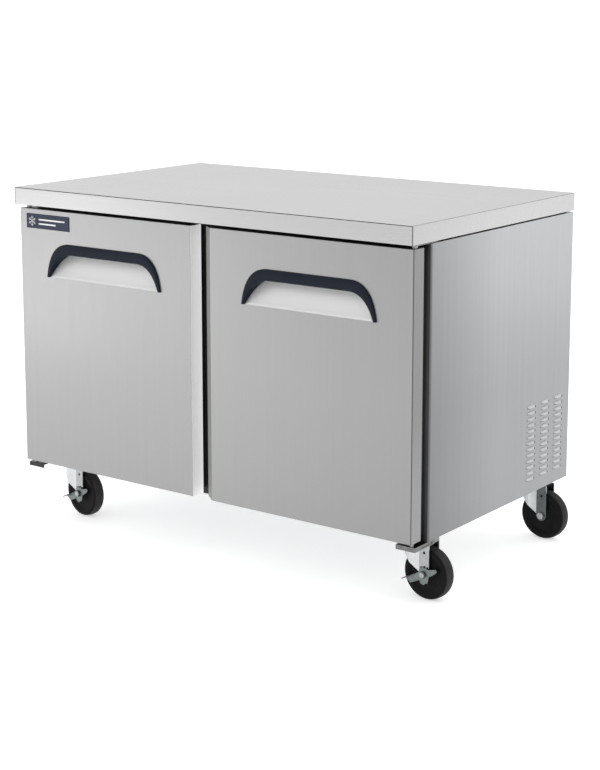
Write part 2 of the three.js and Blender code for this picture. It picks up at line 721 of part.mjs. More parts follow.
// The moulded grip: an arched band that stands proud of the door and lines the arch's wall.
function gripSolid(middle) {
  const bottom = HANDLE_TOP - HANDLE_HEIGHT;
  const outer = archOutline(HANDLE_HALF - GAP, HANDLE_FLAT, HANDLE_TOP - GAP, bottom + GAP);
  const opening = archOutline(
    HANDLE_HALF - HANDLE_TIP,
    HANDLE_FLAT - 2,
    HANDLE_TOP - HANDLE_BAND,
    bottom - 1,
  );
  const band = pull("y", outer, DOOR_FRONT - HANDLE_PROUD, DOOR_FRONT + CUP_DEPTH - GAP, 10);
  const hole = pull("y", opening, DOOR_FRONT - 30, DOOR_FRONT + CUP_DEPTH + 5, 10);
  // fingers hook up behind the band's front lip
  const fingers = box(
    -HANDLE_FLAT,
    HANDLE_FLAT,
    DOOR_FRONT + GRIP_LIP,
    DOOR_FRONT + CUP_DEPTH + 5,
    HANDLE_TOP - HANDLE_BAND - 1,
    HANDLE_TOP - GRIP_ROOF,
  );
  return cut(band, hole, fingers).translate([middle, 0, 0]).intersect(gripZone(middle));
}

// Keeps the grip in front of the sloping cup, with a small clearance.
function gripZone(middle) {
  const bottom = HANDLE_TOP - HANDLE_HEIGHT + GAP;
  return pull(
    "x",
    shapeOf([
      [DOOR_FRONT - 30, bottom],
      [DOOR_FRONT - GAP, bottom],
      [DOOR_FRONT + CUP_DEPTH - GAP, HANDLE_TOP - HANDLE_BAND + 1],
      [DOOR_FRONT + CUP_DEPTH - GAP, HANDLE_TOP + 5],
      [DOOR_FRONT - 30, HANDLE_TOP + 5],
    ]),
    middle - HANDLE_HALF - 5,
    middle + HANDLE_HALF + 5,
  );
}

// Plan outline of a door's steel skin, grown inwards by t. The free edge may be bevelled.
function doorPlan(door, t) {
  const { hingeSide, free, bevel } = door;
  const side = Math.sign(hingeSide);
  const outer = hingeSide - side * t;
  const inner = free + side * t;
  const points = [
    [outer, DOOR_FRONT + t],
    [outer, DOOR_BACK + (t ? 1 : 0)],
    [inner, DOOR_BACK + (t ? 1 : 0)],
  ];
  if (bevel) {
    points.push([inner, DOOR_FRONT + BEVEL.deep + t * 0.45]);
    points.push([free + side * (BEVEL.across + t * 0.3), DOOR_FRONT + t]);
  } else {
    points.push([inner, DOOR_FRONT + t]);
  }
  return side > 0 ? points : points.reverse();
}

function addDoor(parent, door) {
  const { name, hingeSide, free } = door;
  const side = Math.sign(hingeSide);
  const [lowX, highX] = [Math.min(hingeSide, free), Math.max(hingeSide, free)];
  const faceFree = door.bevel ? free + side * BEVEL.across : free;
  const middle = (hingeSide + faceFree) / 2;
  const pinHoles = rod("z", [side * HINGE_X, HINGE_Y, (DOOR_BOTTOM + DOOR_TOP) / 2], BUSH_R, 800, 16);
  const cupBlock = cupHollow(middle, SHEET + GAP);

  const skin = cut(
    pull("z", shapeOf(doorPlan(door, 0)), DOOR_BOTTOM, DOOR_TOP),
    pull("z", shapeOf(doorPlan(door, SHEET)), DOOR_BOTTOM + SHEET, DOOR_TOP - SHEET),
    cupHollow(middle, 0),
    pinHoles,
  );
  node(parent, `door_skin_${name}`, skin, M.stainless);

  const foam = cut(
    pull(
      "z",
      shapeOf(doorPlan(door, SHEET + GAP)),
      DOOR_BOTTOM + SHEET + GAP,
      DOOR_TOP - SHEET - GAP,
    ),
    box(lowX - 1, highX + 1, DOOR_BACK - GAP, DOOR_BACK + 9, 0, HEIGHT),
    cupHollow(middle, SHEET + 2 * GAP),
    pinHoles,
  );
  node(parent, `door_foam_${name}`, foam, M.foam);

  // pressed cup of thin sheet that closes the handle recess behind the skin
  const cup = cut(
    cupHollow(middle, SHEET),
    cupHollow(middle, 0),
    box(lowX, highX, DOOR_FRONT - 60, DOOR_FRONT + SHEET + GAP, 0, HEIGHT),
  );
  node(parent, `handle_cup_${name}`, cup, M.cup);
  node(parent, `handle_grip_${name}`, gripSolid(middle), M.navy);

  // inner panel: a flat tray with a raised middle inside the gasket
  const [edge, ringOut, ringIn] = [2, 8, 31];
  const trayBack = DOOR_BACK + GAP + INNER_TRAY;
  const panel = join(
    box(
      lowX + edge,
      highX - edge,
      DOOR_BACK + GAP,
      trayBack,
      DOOR_BOTTOM + edge,
      DOOR_TOP - edge,
    ),
    box(
      lowX + ringIn,
      highX - ringIn,
      trayBack - GAP,
      CASE_FRONT - INNER_CLEAR,
      DOOR_BOTTOM + ringIn,
      DOOR_TOP - ringIn,
    ),
  );
  node(parent, `door_inner_panel_${name}`, panel, M.liner);

  const ring = (inset) =>
    rectangle(lowX + inset, highX - inset, DOOR_BOTTOM + inset, DOOR_TOP - inset);
  const gasket = pull(
    "y",
    shapeOf(ring(ringOut), [ring(ringIn - GAP)]),
    trayBack + GAP,
    CASE_FRONT - GAP,
  );
  node(parent, `door_gasket_${name}`, gasket, M.gasket);
}

const DOORS = [
  { name: "left", hingeSide: -DOOR_OUTER, free: LEFT_FREE, bevel: false },
  { name: "right", hingeSide: DOOR_OUTER, free: RIGHT_FREE, bevel: true },
];

const PLATE = { x0: -583, x1: -433, z0: 791, z1: 829, thick: 1.5 };

function addNamePlate(parent) {
  const { x0, x1, z0, z1, thick } = PLATE;
  const back = DOOR_FRONT - GAP;
  node(parent, "name_plate", box(x0, x1, back - thick, back, z0, z1), M.navy);
}

// ---------------------------------------------------------------- casters
// Drawn with the kingpin on the local Z axis, the floor at z = 0 and the wheel trailing to +X.
const MOUNT = { halfX: 47.5, halfY: 33.5, thick: 3, slotX: 37, slotY: 23, slotHalf: [6, 4] };
const RACE_HIGH = 7.4;
const KINGPIN_R = 6;

function casterPlate() {
  const top = BASE_Z - GAP;
  const { halfX, halfY, thick, slotX, slotY, slotHalf } = MOUNT;
  const slots = [];
  for (const x of [-slotX, slotX]) {
    for (const y of [-slotY, slotY]) {
      const [dx, dy] = slotHalf;
      slots.push(box(x - dx, x + dx, y - dy, y + dy, top - thick - 1, top + 1));
    }
  }
  return join(
    cut(box(-halfX, halfX, -halfY, halfY, top - thick, top), ...slots),
    rod("z", [0, 0, top - 6.7], RACE_R - 4, 7.6, 16),
    rod("z", [0, 0, top - 15], KINGPIN_R, 24, 12),
    rod("z", [0, 0, CROWN_Z - 5], 10, 9, 6),
  );
}

// Plan of the fork's bent sheet, grown by t: two legs that flare out to wrap round the raceway.
function forkPlan(t) {
  const plan = new THREE.Shape();
  plan.moveTo(TRAIL + LEG_HALF, -LEG_INNER - t);
  plan.lineTo(TRAIL - LEG_HALF, -LEG_INNER - t);
  plan.absarc(0, 0, RACE_R + t, -Math.PI / 2, Math.PI / 2, true);
  plan.lineTo(TRAIL - LEG_HALF, LEG_INNER + t);
  plan.lineTo(TRAIL + LEG_HALF, LEG_INNER + t);
  return plan;
}

// Side view of the fork: wide at the crown and tapering to a round end at the axle.
function forkSide() {
  const side = new THREE.Shape();
  const crown = CROWN_Z + 4;
  side.moveTo(-RACE_R - 3, crown);
  side.lineTo(-RACE_R - 2, CROWN_Z - 16);
  side.lineTo(TRAIL - LEG_HALF, WHEEL_R + 4);
  side.absarc(TRAIL, WHEEL_R, LEG_HALF, Math.PI * 0.92, Math.PI * 2, false);
  side.lineTo(TRAIL + LEG_HALF, crown);
  return side;
}

const LEG_HOLE = { above: 52, radius: 3.5 }; // hole in each leg, above the axle

function casterFork() {
  const tall = [WHEEL_R - LEG_HALF - 1, CROWN_Z + 4];
  const sheet = cut(pull("z", forkPlan(LEG_T), ...tall, 5), pull("z", forkPlan(0), 0, CROWN_Z, 5));
  const reach = RACE_R + TRAIL;
  return cut(
    join(
      sheet.intersect(pull("y", forkSide(), -reach, reach, 5)),
      rod("z", [0, 0, CROWN_Z + RACE_HIGH / 2], RACE_R - 2, RACE_HIGH, 20),
    ),
    rod("z", [0, 0, CROWN_Z], KINGPIN_R + 1, 40, 12),
    rod("y", [TRAIL, 0, WHEEL_R], AXLE_R + 0.2, 80, 12),
    rod("y", [TRAIL, 0, WHEEL_R + LEG_HOLE.above], LEG_HOLE.radius, 80, 8),
  );
}

const WHEEL_WEB = { hubR: 16, inset: 3, r0: 20, r1: 45, rimR: 51, shoulder: 6, hubOut: 1 };
const BORE_R = AXLE_R + 0.4; // of the parts that turn on the axle

function wheelSolid() {
  const { hubR, hubOut, r0, r1, rimR, shoulder } = WHEEL_WEB;
  const web = WHEEL_HALF - WHEEL_WEB.inset;
  const half = [
    [BORE_R, WHEEL_HALF + hubOut],
    [hubR, WHEEL_HALF + hubOut],
    [r0, web],
    [r1, web],
    [rimR, WHEEL_HALF],
    [WHEEL_R, WHEEL_HALF - shoulder],
  ];
  const other = half.map(([radius, y]) => [radius, -y]).reverse();
  const profile = [...half, ...other, half[0]].reverse();
  return turned(profile, 24);
}

// The brake: a stamped lever on the axle, seen from outside the wheel, with a turned-out pedal.
const PEDAL = { tip: -58, low: -16, high: 0, lip: 2.5, out: 20 };
const LEVER = [
  [PEDAL.tip, PEDAL.low],
  [-16, -10],
  [2, -24],
  [13, -19],
  [15, -3],
  [40, 15],
  [36, 20],
  [8, 16],
  [-4, 19],
  [-13, 6],
  [PEDAL.tip, PEDAL.high],
];

function brakeLever() {
  const face = -LEG_INNER - LEG_T - BRAKE_OUT;
  const { tip, low, high, lip, out } = PEDAL;
  return cut(
    join(
      pull("y", shapeOf(LEVER), face - BRAKE_T, face),
      box(tip, tip + lip, face - out, face, low, high),
    ),
    rod("y", [0, 0, 0], BORE_R, 120, 16),
  );
}

const BOLT = { headR: 9, head: 6, nut: 7, sunk: [2, 3] };

function axleBolt(braked) {
  const head = LEG_INNER + LEG_T + (braked ? BRAKE_OUT + BRAKE_T + GAP : GAP);
  const nut = LEG_INNER + LEG_T + GAP;
  const shank = [-head - BOLT.sunk[0], nut + BOLT.sunk[1]]; // its ends are inside head and nut
  return join(
    rod("y", [0, (shank[0] + shank[1]) / 2, 0], AXLE_R, shank[1] - shank[0], 16),
    rod("y", [0, -head - BOLT.head / 2, 0], BOLT.headR, BOLT.head, 6),
    rod("y", [0, nut + BOLT.nut / 2, 0], BOLT.headR, BOLT.nut, 6),
  );
}

const CASTERS = [
  { name: "front_left", x: -CASTER_X, y: CASTER_FRONT_Y, swivel: -9, brake: true },
  { name: "front_right", x: CASTER_X, y: CASTER_FRONT_Y, swivel: -4, brake: true },
  { name: "rear_left", x: -CASTER_X, y: CASTER_REAR_Y, swivel: 0, brake: false },
  { name: "rear_right", x: CASTER_X, y: CASTER_REAR_Y, swivel: -2, brake: false },
];

function addCaster(parent, caster) {
  const { name, x, y, swivel, brake } = caster;
  const mount = new THREE.Group();
  mount.position.set(x, y, 0);
  node(mount, `caster_plate_${name}`, casterPlate(), M.zinc);
  const yoke = new THREE.Group();
  yoke.rotation.z = THREE.MathUtils.degToRad(swivel);
  node(yoke, `caster_fork_${name}`, casterFork(), M.zinc);
  const axle = new THREE.Group();
  axle.position.set(TRAIL, 0, WHEEL_R);
  node(axle, `caster_axle_${name}`, axleBolt(brake), M.zinc);
  node(axle, `caster_wheel_${name}`, wheelSolid(), M.tyre);
  if (brake) node(axle, `caster_brake_${name}`, brakeLever(), M.zinc);
  yoke.add(axle);
  mount.add(yoke);
  parent.add(mount);
}

// ---------------------------------------------------------------- assembly
const refrigerator = new THREE.Group();
addWorktop(refrigerator);
addCase(refrigerator);
addCavity(refrigerator);
addShelves(refrigerator);
addEvaporator(refrigerator);
addMachineRoom(refrigerator);
addHinges(refrigerator);
for (const door of DOORS) addDoor(refrigerator, door);
addNamePlate(refrigerator);
for (const caster of CASTERS) addCaster(refrigerator, caster);

// The right-hand wheels trail out past the worktop, which moves the middle of the outer box.
const overhang = CASTER_X + TRAIL + WHEEL_R - WIDTH / 2;
refrigerator.position.x = -overhang / 2;

export default refrigerator;
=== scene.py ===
import json
import math

import bmesh
import bpy
from mathutils import Matrix, Vector


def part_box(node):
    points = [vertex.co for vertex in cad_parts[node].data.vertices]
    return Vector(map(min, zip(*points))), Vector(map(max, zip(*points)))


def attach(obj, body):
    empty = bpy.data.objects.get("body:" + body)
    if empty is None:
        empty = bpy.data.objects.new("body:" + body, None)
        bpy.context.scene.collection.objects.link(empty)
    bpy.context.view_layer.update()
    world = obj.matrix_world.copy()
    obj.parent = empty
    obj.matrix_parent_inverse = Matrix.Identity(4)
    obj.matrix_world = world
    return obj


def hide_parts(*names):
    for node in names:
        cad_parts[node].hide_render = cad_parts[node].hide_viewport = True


# Looks for a two-door undercounter refrigerator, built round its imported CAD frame.
# Metres, +X to the right of someone facing the doors, +Y to the back, +Z up.
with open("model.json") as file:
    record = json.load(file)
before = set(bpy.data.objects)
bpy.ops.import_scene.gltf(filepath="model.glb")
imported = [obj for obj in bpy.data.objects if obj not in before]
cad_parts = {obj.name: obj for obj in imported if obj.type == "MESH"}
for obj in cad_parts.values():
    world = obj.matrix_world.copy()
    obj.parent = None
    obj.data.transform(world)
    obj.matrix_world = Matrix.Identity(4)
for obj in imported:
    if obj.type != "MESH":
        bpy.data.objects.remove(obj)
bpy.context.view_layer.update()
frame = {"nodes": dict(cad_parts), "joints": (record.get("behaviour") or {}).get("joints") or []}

MM = 0.001


def corners_of(node):
    """Lowest and highest corner of a CAD node."""
    low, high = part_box(node)
    return Vector(low), Vector(high)


TOP_LO, TOP_HI = corners_of("worktop")
MIDDLE = (TOP_LO.x + TOP_HI.x) / 2  # middle of the cabinet, the wheels left out
JOINTS = {joint["child"]: joint for joint in frame["joints"]}  # by the body that each one moves


# ---- mesh helpers
def bridge(bm, near, far):
    """Joins two rings of vertices with a band of faces."""
    count = len(near)
    for i in range(count):
        j = (i + 1) % count
        bm.faces.new((near[i], near[j], far[j], far[i]))


def prism(bm, outline, axis, low, high):
    """Adds the solid that a flat outline sweeps along an axis; its points are the other two axes."""
    def place(a, b, c):
        return {"x": (c, a, b), "y": (a, c, b), "z": (a, b, c)}[axis]

    rings = [[bm.verts.new(place(a, b, c)) for a, b in outline] for c in (low, high)]
    bm.faces.new(rings[0])
    bm.faces.new(rings[1])
    bridge(bm, *rings)


def box(bm, low, high):
    outline = [(low[0], low[1]), (high[0], low[1]), (high[0], high[1]), (low[0], high[1])]
    prism(bm, outline, "z", low[2], high[2])


def arc(centre, radius, start, end, steps):
    """Points of a circular arc, angles in degrees."""
    points = []
    for i in range(steps + 1):
        a = math.radians(start + (end - start) * i / steps)
        points.append((centre[0] + radius * math.cos(a), centre[1] + radius * math.sin(a)))
    return points


def circle(centre, radius, sides):
    return arc(centre, radius, 0, 360, sides)[:-1]


def in_metres(profile):
    return [(a * MM, b * MM) for a, b in profile]


def on_side(side, a, b):
    """Two distances from the cabinet's middle as x on one side of it, the lower one first."""
    return sorted((MIDDLE + side * a, MIDDLE + side * b))


def rod(bm, start, end, radius, sides):
    """Adds a round bar between two points."""
    start, end = Vector(start), Vector(end)
    along = (end - start).normalized()
    side = along.orthogonal().normalized()
    other = along.cross(side)
    section = [side * a + other * b for a, b in circle((0, 0), radius, sides)]
    rings = [[bm.verts.new(middle + point) for point in section] for middle in (start, end)]
    bm.faces.new(rings[0])
    bm.faces.new(rings[1])
    bridge(bm, *rings)


def lathe(bm, profile, centre, axis, sides):
    """Turns a closed (radius, height) profile about an axis through centre."""
    axis = Vector(axis).normalized()
    side = axis.orthogonal().normalized()
    other = axis.cross(side)
    rings = []
    for i in range(sides):
        a = 2 * math.pi * i / sides
        out = side * math.cos(a) + other * math.sin(a)
        rings.append([bm.verts.new(Vector(centre) + out * r + axis * h) for r, h in profile])
    for i in range(sides):
        bridge(bm, rings[i], rings[(i + 1) % sides])


def surface_grid(bm, across, up, point):
    """Adds a sheet of across by up cells; point(u, v) gives each vertex for u and v from 0 to 1."""
    verts = [[bm.verts.new(point(i / across, j / up)) for i in range(across + 1)] for j in range(up + 1)]
    for j in range(up):
        for i in range(across):
            bm.faces.new((verts[j][i], verts[j][i + 1], verts[j + 1][i + 1], verts[j + 1][i]))


def make_object(name, bm, material):
    """Makes a smooth-shaded object of a mesh under construction."""
    bmesh.ops.recalc_face_normals(bm, faces=bm.faces)
    mesh = bpy.data.meshes.new(name)
    bm.to_mesh(mesh)
    bm.free()
    mesh.materials.append(material)
    mesh.polygons.foreach_set("use_smooth", [True] * len(mesh.polygons))
    piece = bpy.data.objects.new(name, mesh)
    bpy.context.scene.collection.objects.link(piece)
    return piece


def settle(piece):
    """Applies a piece's modifiers to its mesh."""
    depsgraph = bpy.context.evaluated_depsgraph_get()
    mesh = bpy.data.meshes.new_from_object(piece.evaluated_get(depsgraph))
    piece.modifiers.clear()
    piece.data = mesh


CREASE = 38  # degrees between two faces that shade as a crisp edge
FINE_CREASE = 32  # the same on CAD surfaces, and where edges are rounded


def sharpen(piece, degrees=CREASE):
    """Marks the edges that stay crisp, so that the rest shades smoothly."""
    bm = bmesh.new()
    bm.from_mesh(piece.data)
    for face in bm.faces:
        face.smooth = True
    for edge in bm.edges:
        edge.smooth = len(edge.link_faces) == 2 and edge.calc_face_angle(0) < math.radians(degrees)
    bm.to_mesh(piece.data)
    bm.free()


def soften(piece, width, segments=3):
    """Rounds a piece's edges and keeps its flat faces flat in the shading."""
    bevel = piece.modifiers.new("edges", "BEVEL")
    bevel.width = width
    bevel.segments = segments
    bevel.limit_method = "ANGLE"
    bevel.angle_limit = math.radians(FINE_CREASE)
    bevel.miter_outer = "MITER_ARC"
    bevel.harden_normals = True
    return piece


def even_normals(piece):
    """Lets large faces keep their own direction in the shading."""
    weighted = piece.modifiers.new("flat faces", "WEIGHTED_NORMAL")
    weighted.keep_sharp = True


def thicken(piece, thickness, offset):
    """Gives a surface a thickness; offset is -1 or 1 for the side that it grows to."""
    sheet = piece.modifiers.new("sheet", "SOLIDIFY")
    sheet.thickness = thickness
    sheet.offset = offset


def carve(piece, bm, material, operation="DIFFERENCE"):
    """Cuts a piece with a solid, whose finish the cut faces get."""
    cutter = make_object("cutter", bm, material)
    cut = piece.modifiers.new("cut", "BOOLEAN")
    cut.operation = operation
    cut.solver = "EXACT"
    cut.use_self = True
    cut.material_mode = "TRANSFER"
    cut.object = cutter
    settle(piece)
    bpy.data.objects.remove(cutter, do_unlink=True)


def paint(piece, material, chosen):
    """Gives the faces that chosen(face) picks a second finish."""
    piece.data.materials.append(material)
    index = len(piece.data.materials) - 1
    for polygon in piece.data.polygons:
        if chosen(polygon):
            polygon.material_index = index


def show(piece, body, slot, *nodes):
    """Puts a finished piece on its body, in place of the CAD nodes that it stands for."""
    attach(piece, body)
    if nodes:
        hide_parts(*nodes)


def add_piece(name, bm, material, body, slot, *nodes, crease=CREASE):
    """Makes and shows a piece that is smooth between its crisp edges."""
    piece = make_object(name, bm, material)
    sharpen(piece, crease)
    show(piece, body, slot, *nodes)


def dressed(node, body, slot, material, width=None):
    """A CAD node with smooth faces and, where its flat faces have no holes, edges rounded by width."""
    source = frame["nodes"][node]
    bm = bmesh.new()
    bm.from_mesh(source.data)
    bmesh.ops.transform(bm, matrix=source.matrix_world, verts=bm.verts)
    bmesh.ops.remove_doubles(bm, verts=bm.verts, dist=0.02 * MM)
    if width:
        bmesh.ops.dissolve_limit(bm, angle_limit=math.radians(1), verts=bm.verts, edges=bm.edges)
    piece = make_object(f"{node}_shell", bm, material)
    sharpen(piece, FINE_CREASE)
    if width:
        even_normals(soften(piece, width))
    show(piece, body, slot, node)


# ---- material helpers
def triple(value):
    """A colour or a scale for three axes; one number stands for three equal ones."""
    return value if isinstance(value, tuple) else (value,) * 3


def ranged(tree, value, low, high, start, end):
    """Maps a value between start and end to the range from low to high."""
    node = tree.nodes.new("ShaderNodeMapRange")
    for key, number in {"From Min": start, "From Max": end, "To Min": low, "To Max": high}.items():
        node.inputs[key].default_value = number
    tree.links.new(value, node.inputs["Value"])
    return node.outputs["Result"]


class Graph:
    """A material under construction."""

    def __init__(self, name):
        self.material = bpy.data.materials.new(name)
        self.material.use_nodes = True
        self.tree = self.material.node_tree
        self.shader = self.tree.nodes["Principled BSDF"]
        self.place = self.tree.nodes.new("ShaderNodeTexCoord").outputs["Object"]

    def node(self, kind, **settings):
        made = self.tree.nodes.new(kind)
        for key, value in settings.items():
            if hasattr(made, key):
                setattr(made, key, value)
            else:
                made.inputs[key].default_value = value
        return made

    def link(self, output, to):
        self.tree.links.new(output, to)

    def feed(self, output, key):
        """Links an output to one of the shader's inputs."""
        self.link(output, self.shader.inputs[key])

    def scaled(self, scale):
        """The piece's own coordinates times one number, or times one each for X, Y and Z."""
        mapping = self.node("ShaderNodeMapping", vector_type="POINT")
        mapping.inputs["Scale"].default_value = triple(scale)
        self.link(self.place, mapping.inputs["Vector"])
        return mapping.outputs["Vector"]

    def noise(self, scale, detail=2.0, rough=0.5):
        texture = self.node("ShaderNodeTexNoise", Scale=1.0, Detail=detail, Roughness=rough)
        self.link(self.scaled(scale), texture.inputs["Vector"])
        return texture.outputs["Fac"]

    def spread(self, value, low, high, start=0.3, end=0.7):
        """Maps a noise value, or any other between start and end, to the range from low to high."""
        return ranged(self.tree, value, low, high, start, end)

    def tint(self, value, dark, light):
        """Runs between two colours or shades of grey with a value."""
        ramp = self.node("ShaderNodeValToRGB")
        ramp.color_ramp.elements[0].color = (*triple(dark), 1)
        ramp.color_ramp.elements[1].color = (*triple(light), 1)
        self.link(value, ramp.inputs["Fac"])
        return ramp.outputs["Color"]

    def paint_light_falloff(self, colour, falls):
        """Paints light and shade into a colour along axes, as painted reflection and shade; a fall is
        (axis, start, end, share at start, share at end).
        """
        split = self.node("ShaderNodeSeparateXYZ")
        self.link(self.place, split.inputs["Vector"])
        for axis, start, end, low, high in falls:
            scaled = self.node("ShaderNodeVectorMath", operation="SCALE")
            share = self.spread(split.outputs[axis], low, high, start, end)
            self.link(colour, scaled.inputs[0])
            self.link(share, scaled.inputs["Scale"])
            colour = scaled.outputs["Vector"]
        return colour

    def add(self, one, other, share):
        """Mixes two values; share is the other one's part."""
        mixed = self.node("ShaderNodeMix", data_type="FLOAT")
        mixed.inputs["Factor"].default_value = share
        self.link(one, mixed.inputs["A"])
        self.link(other, mixed.inputs["B"])
        return mixed.outputs["Result"]

    def bump(self, height, strength, distance=0.2 * MM):
        bump = self.node("ShaderNodeBump", Strength=strength, Distance=distance)
        self.link(height, bump.inputs["Height"])
        self.feed(bump.outputs["Normal"], "Normal")

    def set(self, **values):
        for key, value in values.items():
            self.shader.inputs[key.replace("_", " ")].default_value = value


def grained(grain, along, across):
    """Texture scales per metre for X, Y and Z: one along the grain and one across it."""
    return tuple(along if axis == grain else across for axis in "xyz")


def brushed_steel(
    name, grain, dark, light, rough=(0.26, 0.4), bump=0.05, aniso=0.4, metallic=1.0, falls=()
):
    """Stainless sheet with a brushed grain along one axis."""
    g = Graph(name)
    fine = g.noise(grained(grain, 6, 900), 3, 0.6)
    streak = g.noise(grained(grain, 1.2, 70), 3, 0.6)
    cloud = g.noise(2.5)
    grain_height = g.add(fine, streak, 0.45)
    g.feed(g.spread(g.add(grain_height, cloud, 0.3), *rough), "Roughness")
    colour = g.tint(g.spread(g.add(streak, cloud, 0.4), 0, 1), dark, light)
    g.feed(g.paint_light_falloff(colour, falls), "Base Color")
    g.bump(fine, bump)
    g.set(Metallic=metallic, Anisotropic=aniso)
    return g.material


def edge_steel_painted_light():
    """Free edge of the left door, painted pale as painted light though it is the door's own steel; its
    deep part, which hardly any light reaches, glows faintly as painted light.
    """
    material = brushed_steel("door_edge_steel", "z", 0.82, 0.88, (0.5, 0.6), 0.02, 0.0, 0.1)
    tree = material.node_tree
    split = tree.nodes.new("ShaderNodeSeparateXYZ")
    tree.links.new(tree.nodes["Texture Coordinate"].outputs["Object"], split.inputs["Vector"])
    door_front, door_back = -0.36, -0.32
    painted_glow = ranged(tree, split.outputs["Y"], 0.02, 0.48, door_front, door_back)
    shader = tree.nodes["Principled BSDF"]
    shader.inputs["Emission Color"].default_value = (1, 1, 1, 1)
    tree.links.new(painted_glow, shader.inputs["Emission Strength"])
    return material


def plated_steel(name, dark, light, rough=(0.24, 0.36)):
    """Bright zinc plate with a faint mottle."""
    g = Graph(name)
    mottle = g.noise(90, 4, 0.6)
    pitted = g.noise(700)
    g.feed(g.tint(g.spread(mottle, 0, 1), dark, light), "Base Color")
    g.feed(g.spread(mottle, *rough), "Roughness")
    g.bump(pitted, 0.12, 0.1 * MM)
    g.set(Metallic=1.0)
    return g.material


def moulded_plastic(name, dark, light, rough=(0.35, 0.5), bump=0.25, scale=1400, specular=0.3):
    """Moulded plastic with a fine spark-eroded texture."""
    g = Graph(name)
    texture = g.noise(scale)
    patch = g.noise(14, 3)
    g.feed(g.tint(g.spread(patch, 0, 1), dark, light), "Base Color")
    g.feed(g.spread(texture, *rough), "Roughness")
    g.bump(texture, bump, 0.08 * MM)
    g.set(Specular_IOR_Level=specular)
    return g.material


def worn_rubber(name, dark, light):
    """Hard wheel rubber, greyer and rougher in patches."""
    g = Graph(name)
    wear = g.noise(38, 5, 0.65)
    speck = g.noise(900)
    g.feed(g.tint(g.spread(wear, 0, 1), dark, light), "Base Color")
    g.feed(g.spread(wear, 0.5, 0.72), "Roughness")
    g.bump(g.add(speck, wear, 0.4), 0.3, 0.15 * MM)
    g.set(Specular_IOR_Level=0.12)
    return g.material


def foam_material():
    """Yellow foam with round cells."""
    g = Graph("insulation_foam")
    cells = g.node("ShaderNodeTexVoronoi", Scale=1.0)
    g.link(g.scaled(500), cells.inputs["Vector"])
    colour = g.tint(cells.outputs["Distance"], (0.62, 0.5, 0.25), (0.82, 0.72, 0.45))
    g.feed(colour, "Base Color")
    g.bump(cells.outputs["Distance"], 0.5, 0.4 * MM)
    g.set(Roughness=0.9)
    return g.material


# Painted reflection and shade: slow changes of tone painted into the steel's colour, as a room's
# reflection and shade leave them; see Graph.paint_light_falloff.
TOP_BEND = 2.5 * MM
# Painted shade: the worktop steel darkens over its front, back and side bends.
TOP_EDGE_PAINTED_SHADE = (
    ("Y", TOP_LO.y, TOP_LO.y + TOP_BEND, 0.79, 1.0),
    ("Y", TOP_HI.y - TOP_BEND, TOP_HI.y, 1.0, 0.72),
    ("X", TOP_LO.x, TOP_LO.x + TOP_BEND, 0.72, 1.0),
    ("X", TOP_HI.x - TOP_BEND, TOP_HI.x, 1.0, 0.72),
)
# Painted shade: the door steel darkens towards the right and a little towards the bottom.
DOOR_PAINTED_SHADE = (("X", 0.0, 0.6, 1.0, 0.87), ("Z", 0.2, 0.5, 0.96, 1.0))
# Painted light: the right door's hinge-side edge brightens towards the bottom.
HINGE_EDGE_PAINTED_LIGHT = (("Z", 0.2, 0.45, 1.3, 1.0),)
# Painted light: the cup's steel brightens towards its top, under the grip's overhang.
CUP_TOP_PAINTED_LIGHT = (("Z", 0.675, 0.73, 0.98, 1.4),)
# Painted shade and light: the case steel goes nearly black over the side panels' front flange, darker
# towards the front and lighter towards the top.
SIDE_PAINTED_SHADE = (
    ("Y", -0.3, -0.286, 0.2, 1.0),
    ("Y", -0.29, 0.0, 0.7, 1.0),
    ("Z", 0.45, 0.85, 1.0, 1.25),
)
STEEL_TOP = brushed_steel("worktop_steel", "x", 0.495, 0.52, (0.24, 0.34), 0.02, 0.3, falls=TOP_EDGE_PAINTED_SHADE)
STEEL_DOOR = brushed_steel("door_steel", "z", 0.305, 0.323, (0.3, 0.42), falls=DOOR_PAINTED_SHADE)
# Painted shade: the right door's hinge-side edge is a darker copy of the door steel.
STEEL_HINGE_EDGE_SHADED = brushed_steel("hinge_edge_steel", "z", 0.19, 0.2, falls=HINGE_EDGE_PAINTED_LIGHT)
STEEL_SIDE = brushed_steel(
    "case_steel", "z", (0.25, 0.255, 0.263), (0.284, 0.288, 0.296), (0.28, 0.4), falls=SIDE_PAINTED_SHADE
)
# Painted highlight: a pale copy of the case steel for the louvre hoods' upper faces.
STEEL_LOUVRE_HIGHLIGHT = brushed_steel("louvre_steel", "z", 0.5, 0.6, (0.45, 0.6), 0.02, 0.0, 0.3)
# Painted shade: a near-black copy of the door steel for the narrow front fold on the hinge side.
STEEL_FOLD_PAINTED_SHADE = brushed_steel("door_fold_steel", "z", 0.06, 0.08, (0.4, 0.5), 0.02, 0.0)
STEEL_CUP = brushed_steel("cup_steel", "x", 0.58, 0.62, (0.5, 0.6), 0.02, 0.0, 0.4, CUP_TOP_PAINTED_LIGHT)
# Painted light: the left door's free edge is a pale, faintly glowing copy of the door steel.
STEEL_EDGE_PAINTED_LIGHT = edge_steel_painted_light()
# Painted shade: a darker copy of the door steel for the right door's finger bevel.
STEEL_BEVEL_SHADED = brushed_steel(
    "door_bevel_steel", "z", (0.24, 0.25, 0.235), (0.28, 0.29, 0.275), (0.4, 0.5)
)
ZINC = plated_steel("zinc_plate", (0.5, 0.51, 0.52), (0.56, 0.57, 0.58))
# Painted light and shade: a mid zinc, darker than the fork wings on the front legs, and lighter than the
# front bolts on their domes.
ZINC_PAINTED_LIGHT_AND_SHADE = plated_steel("zinc_leg", (0.32, 0.33, 0.33), (0.38, 0.39, 0.39))
ZINC_SHADE = plated_steel("zinc_shade", (0.09, 0.1, 0.1), (0.13, 0.14, 0.14))
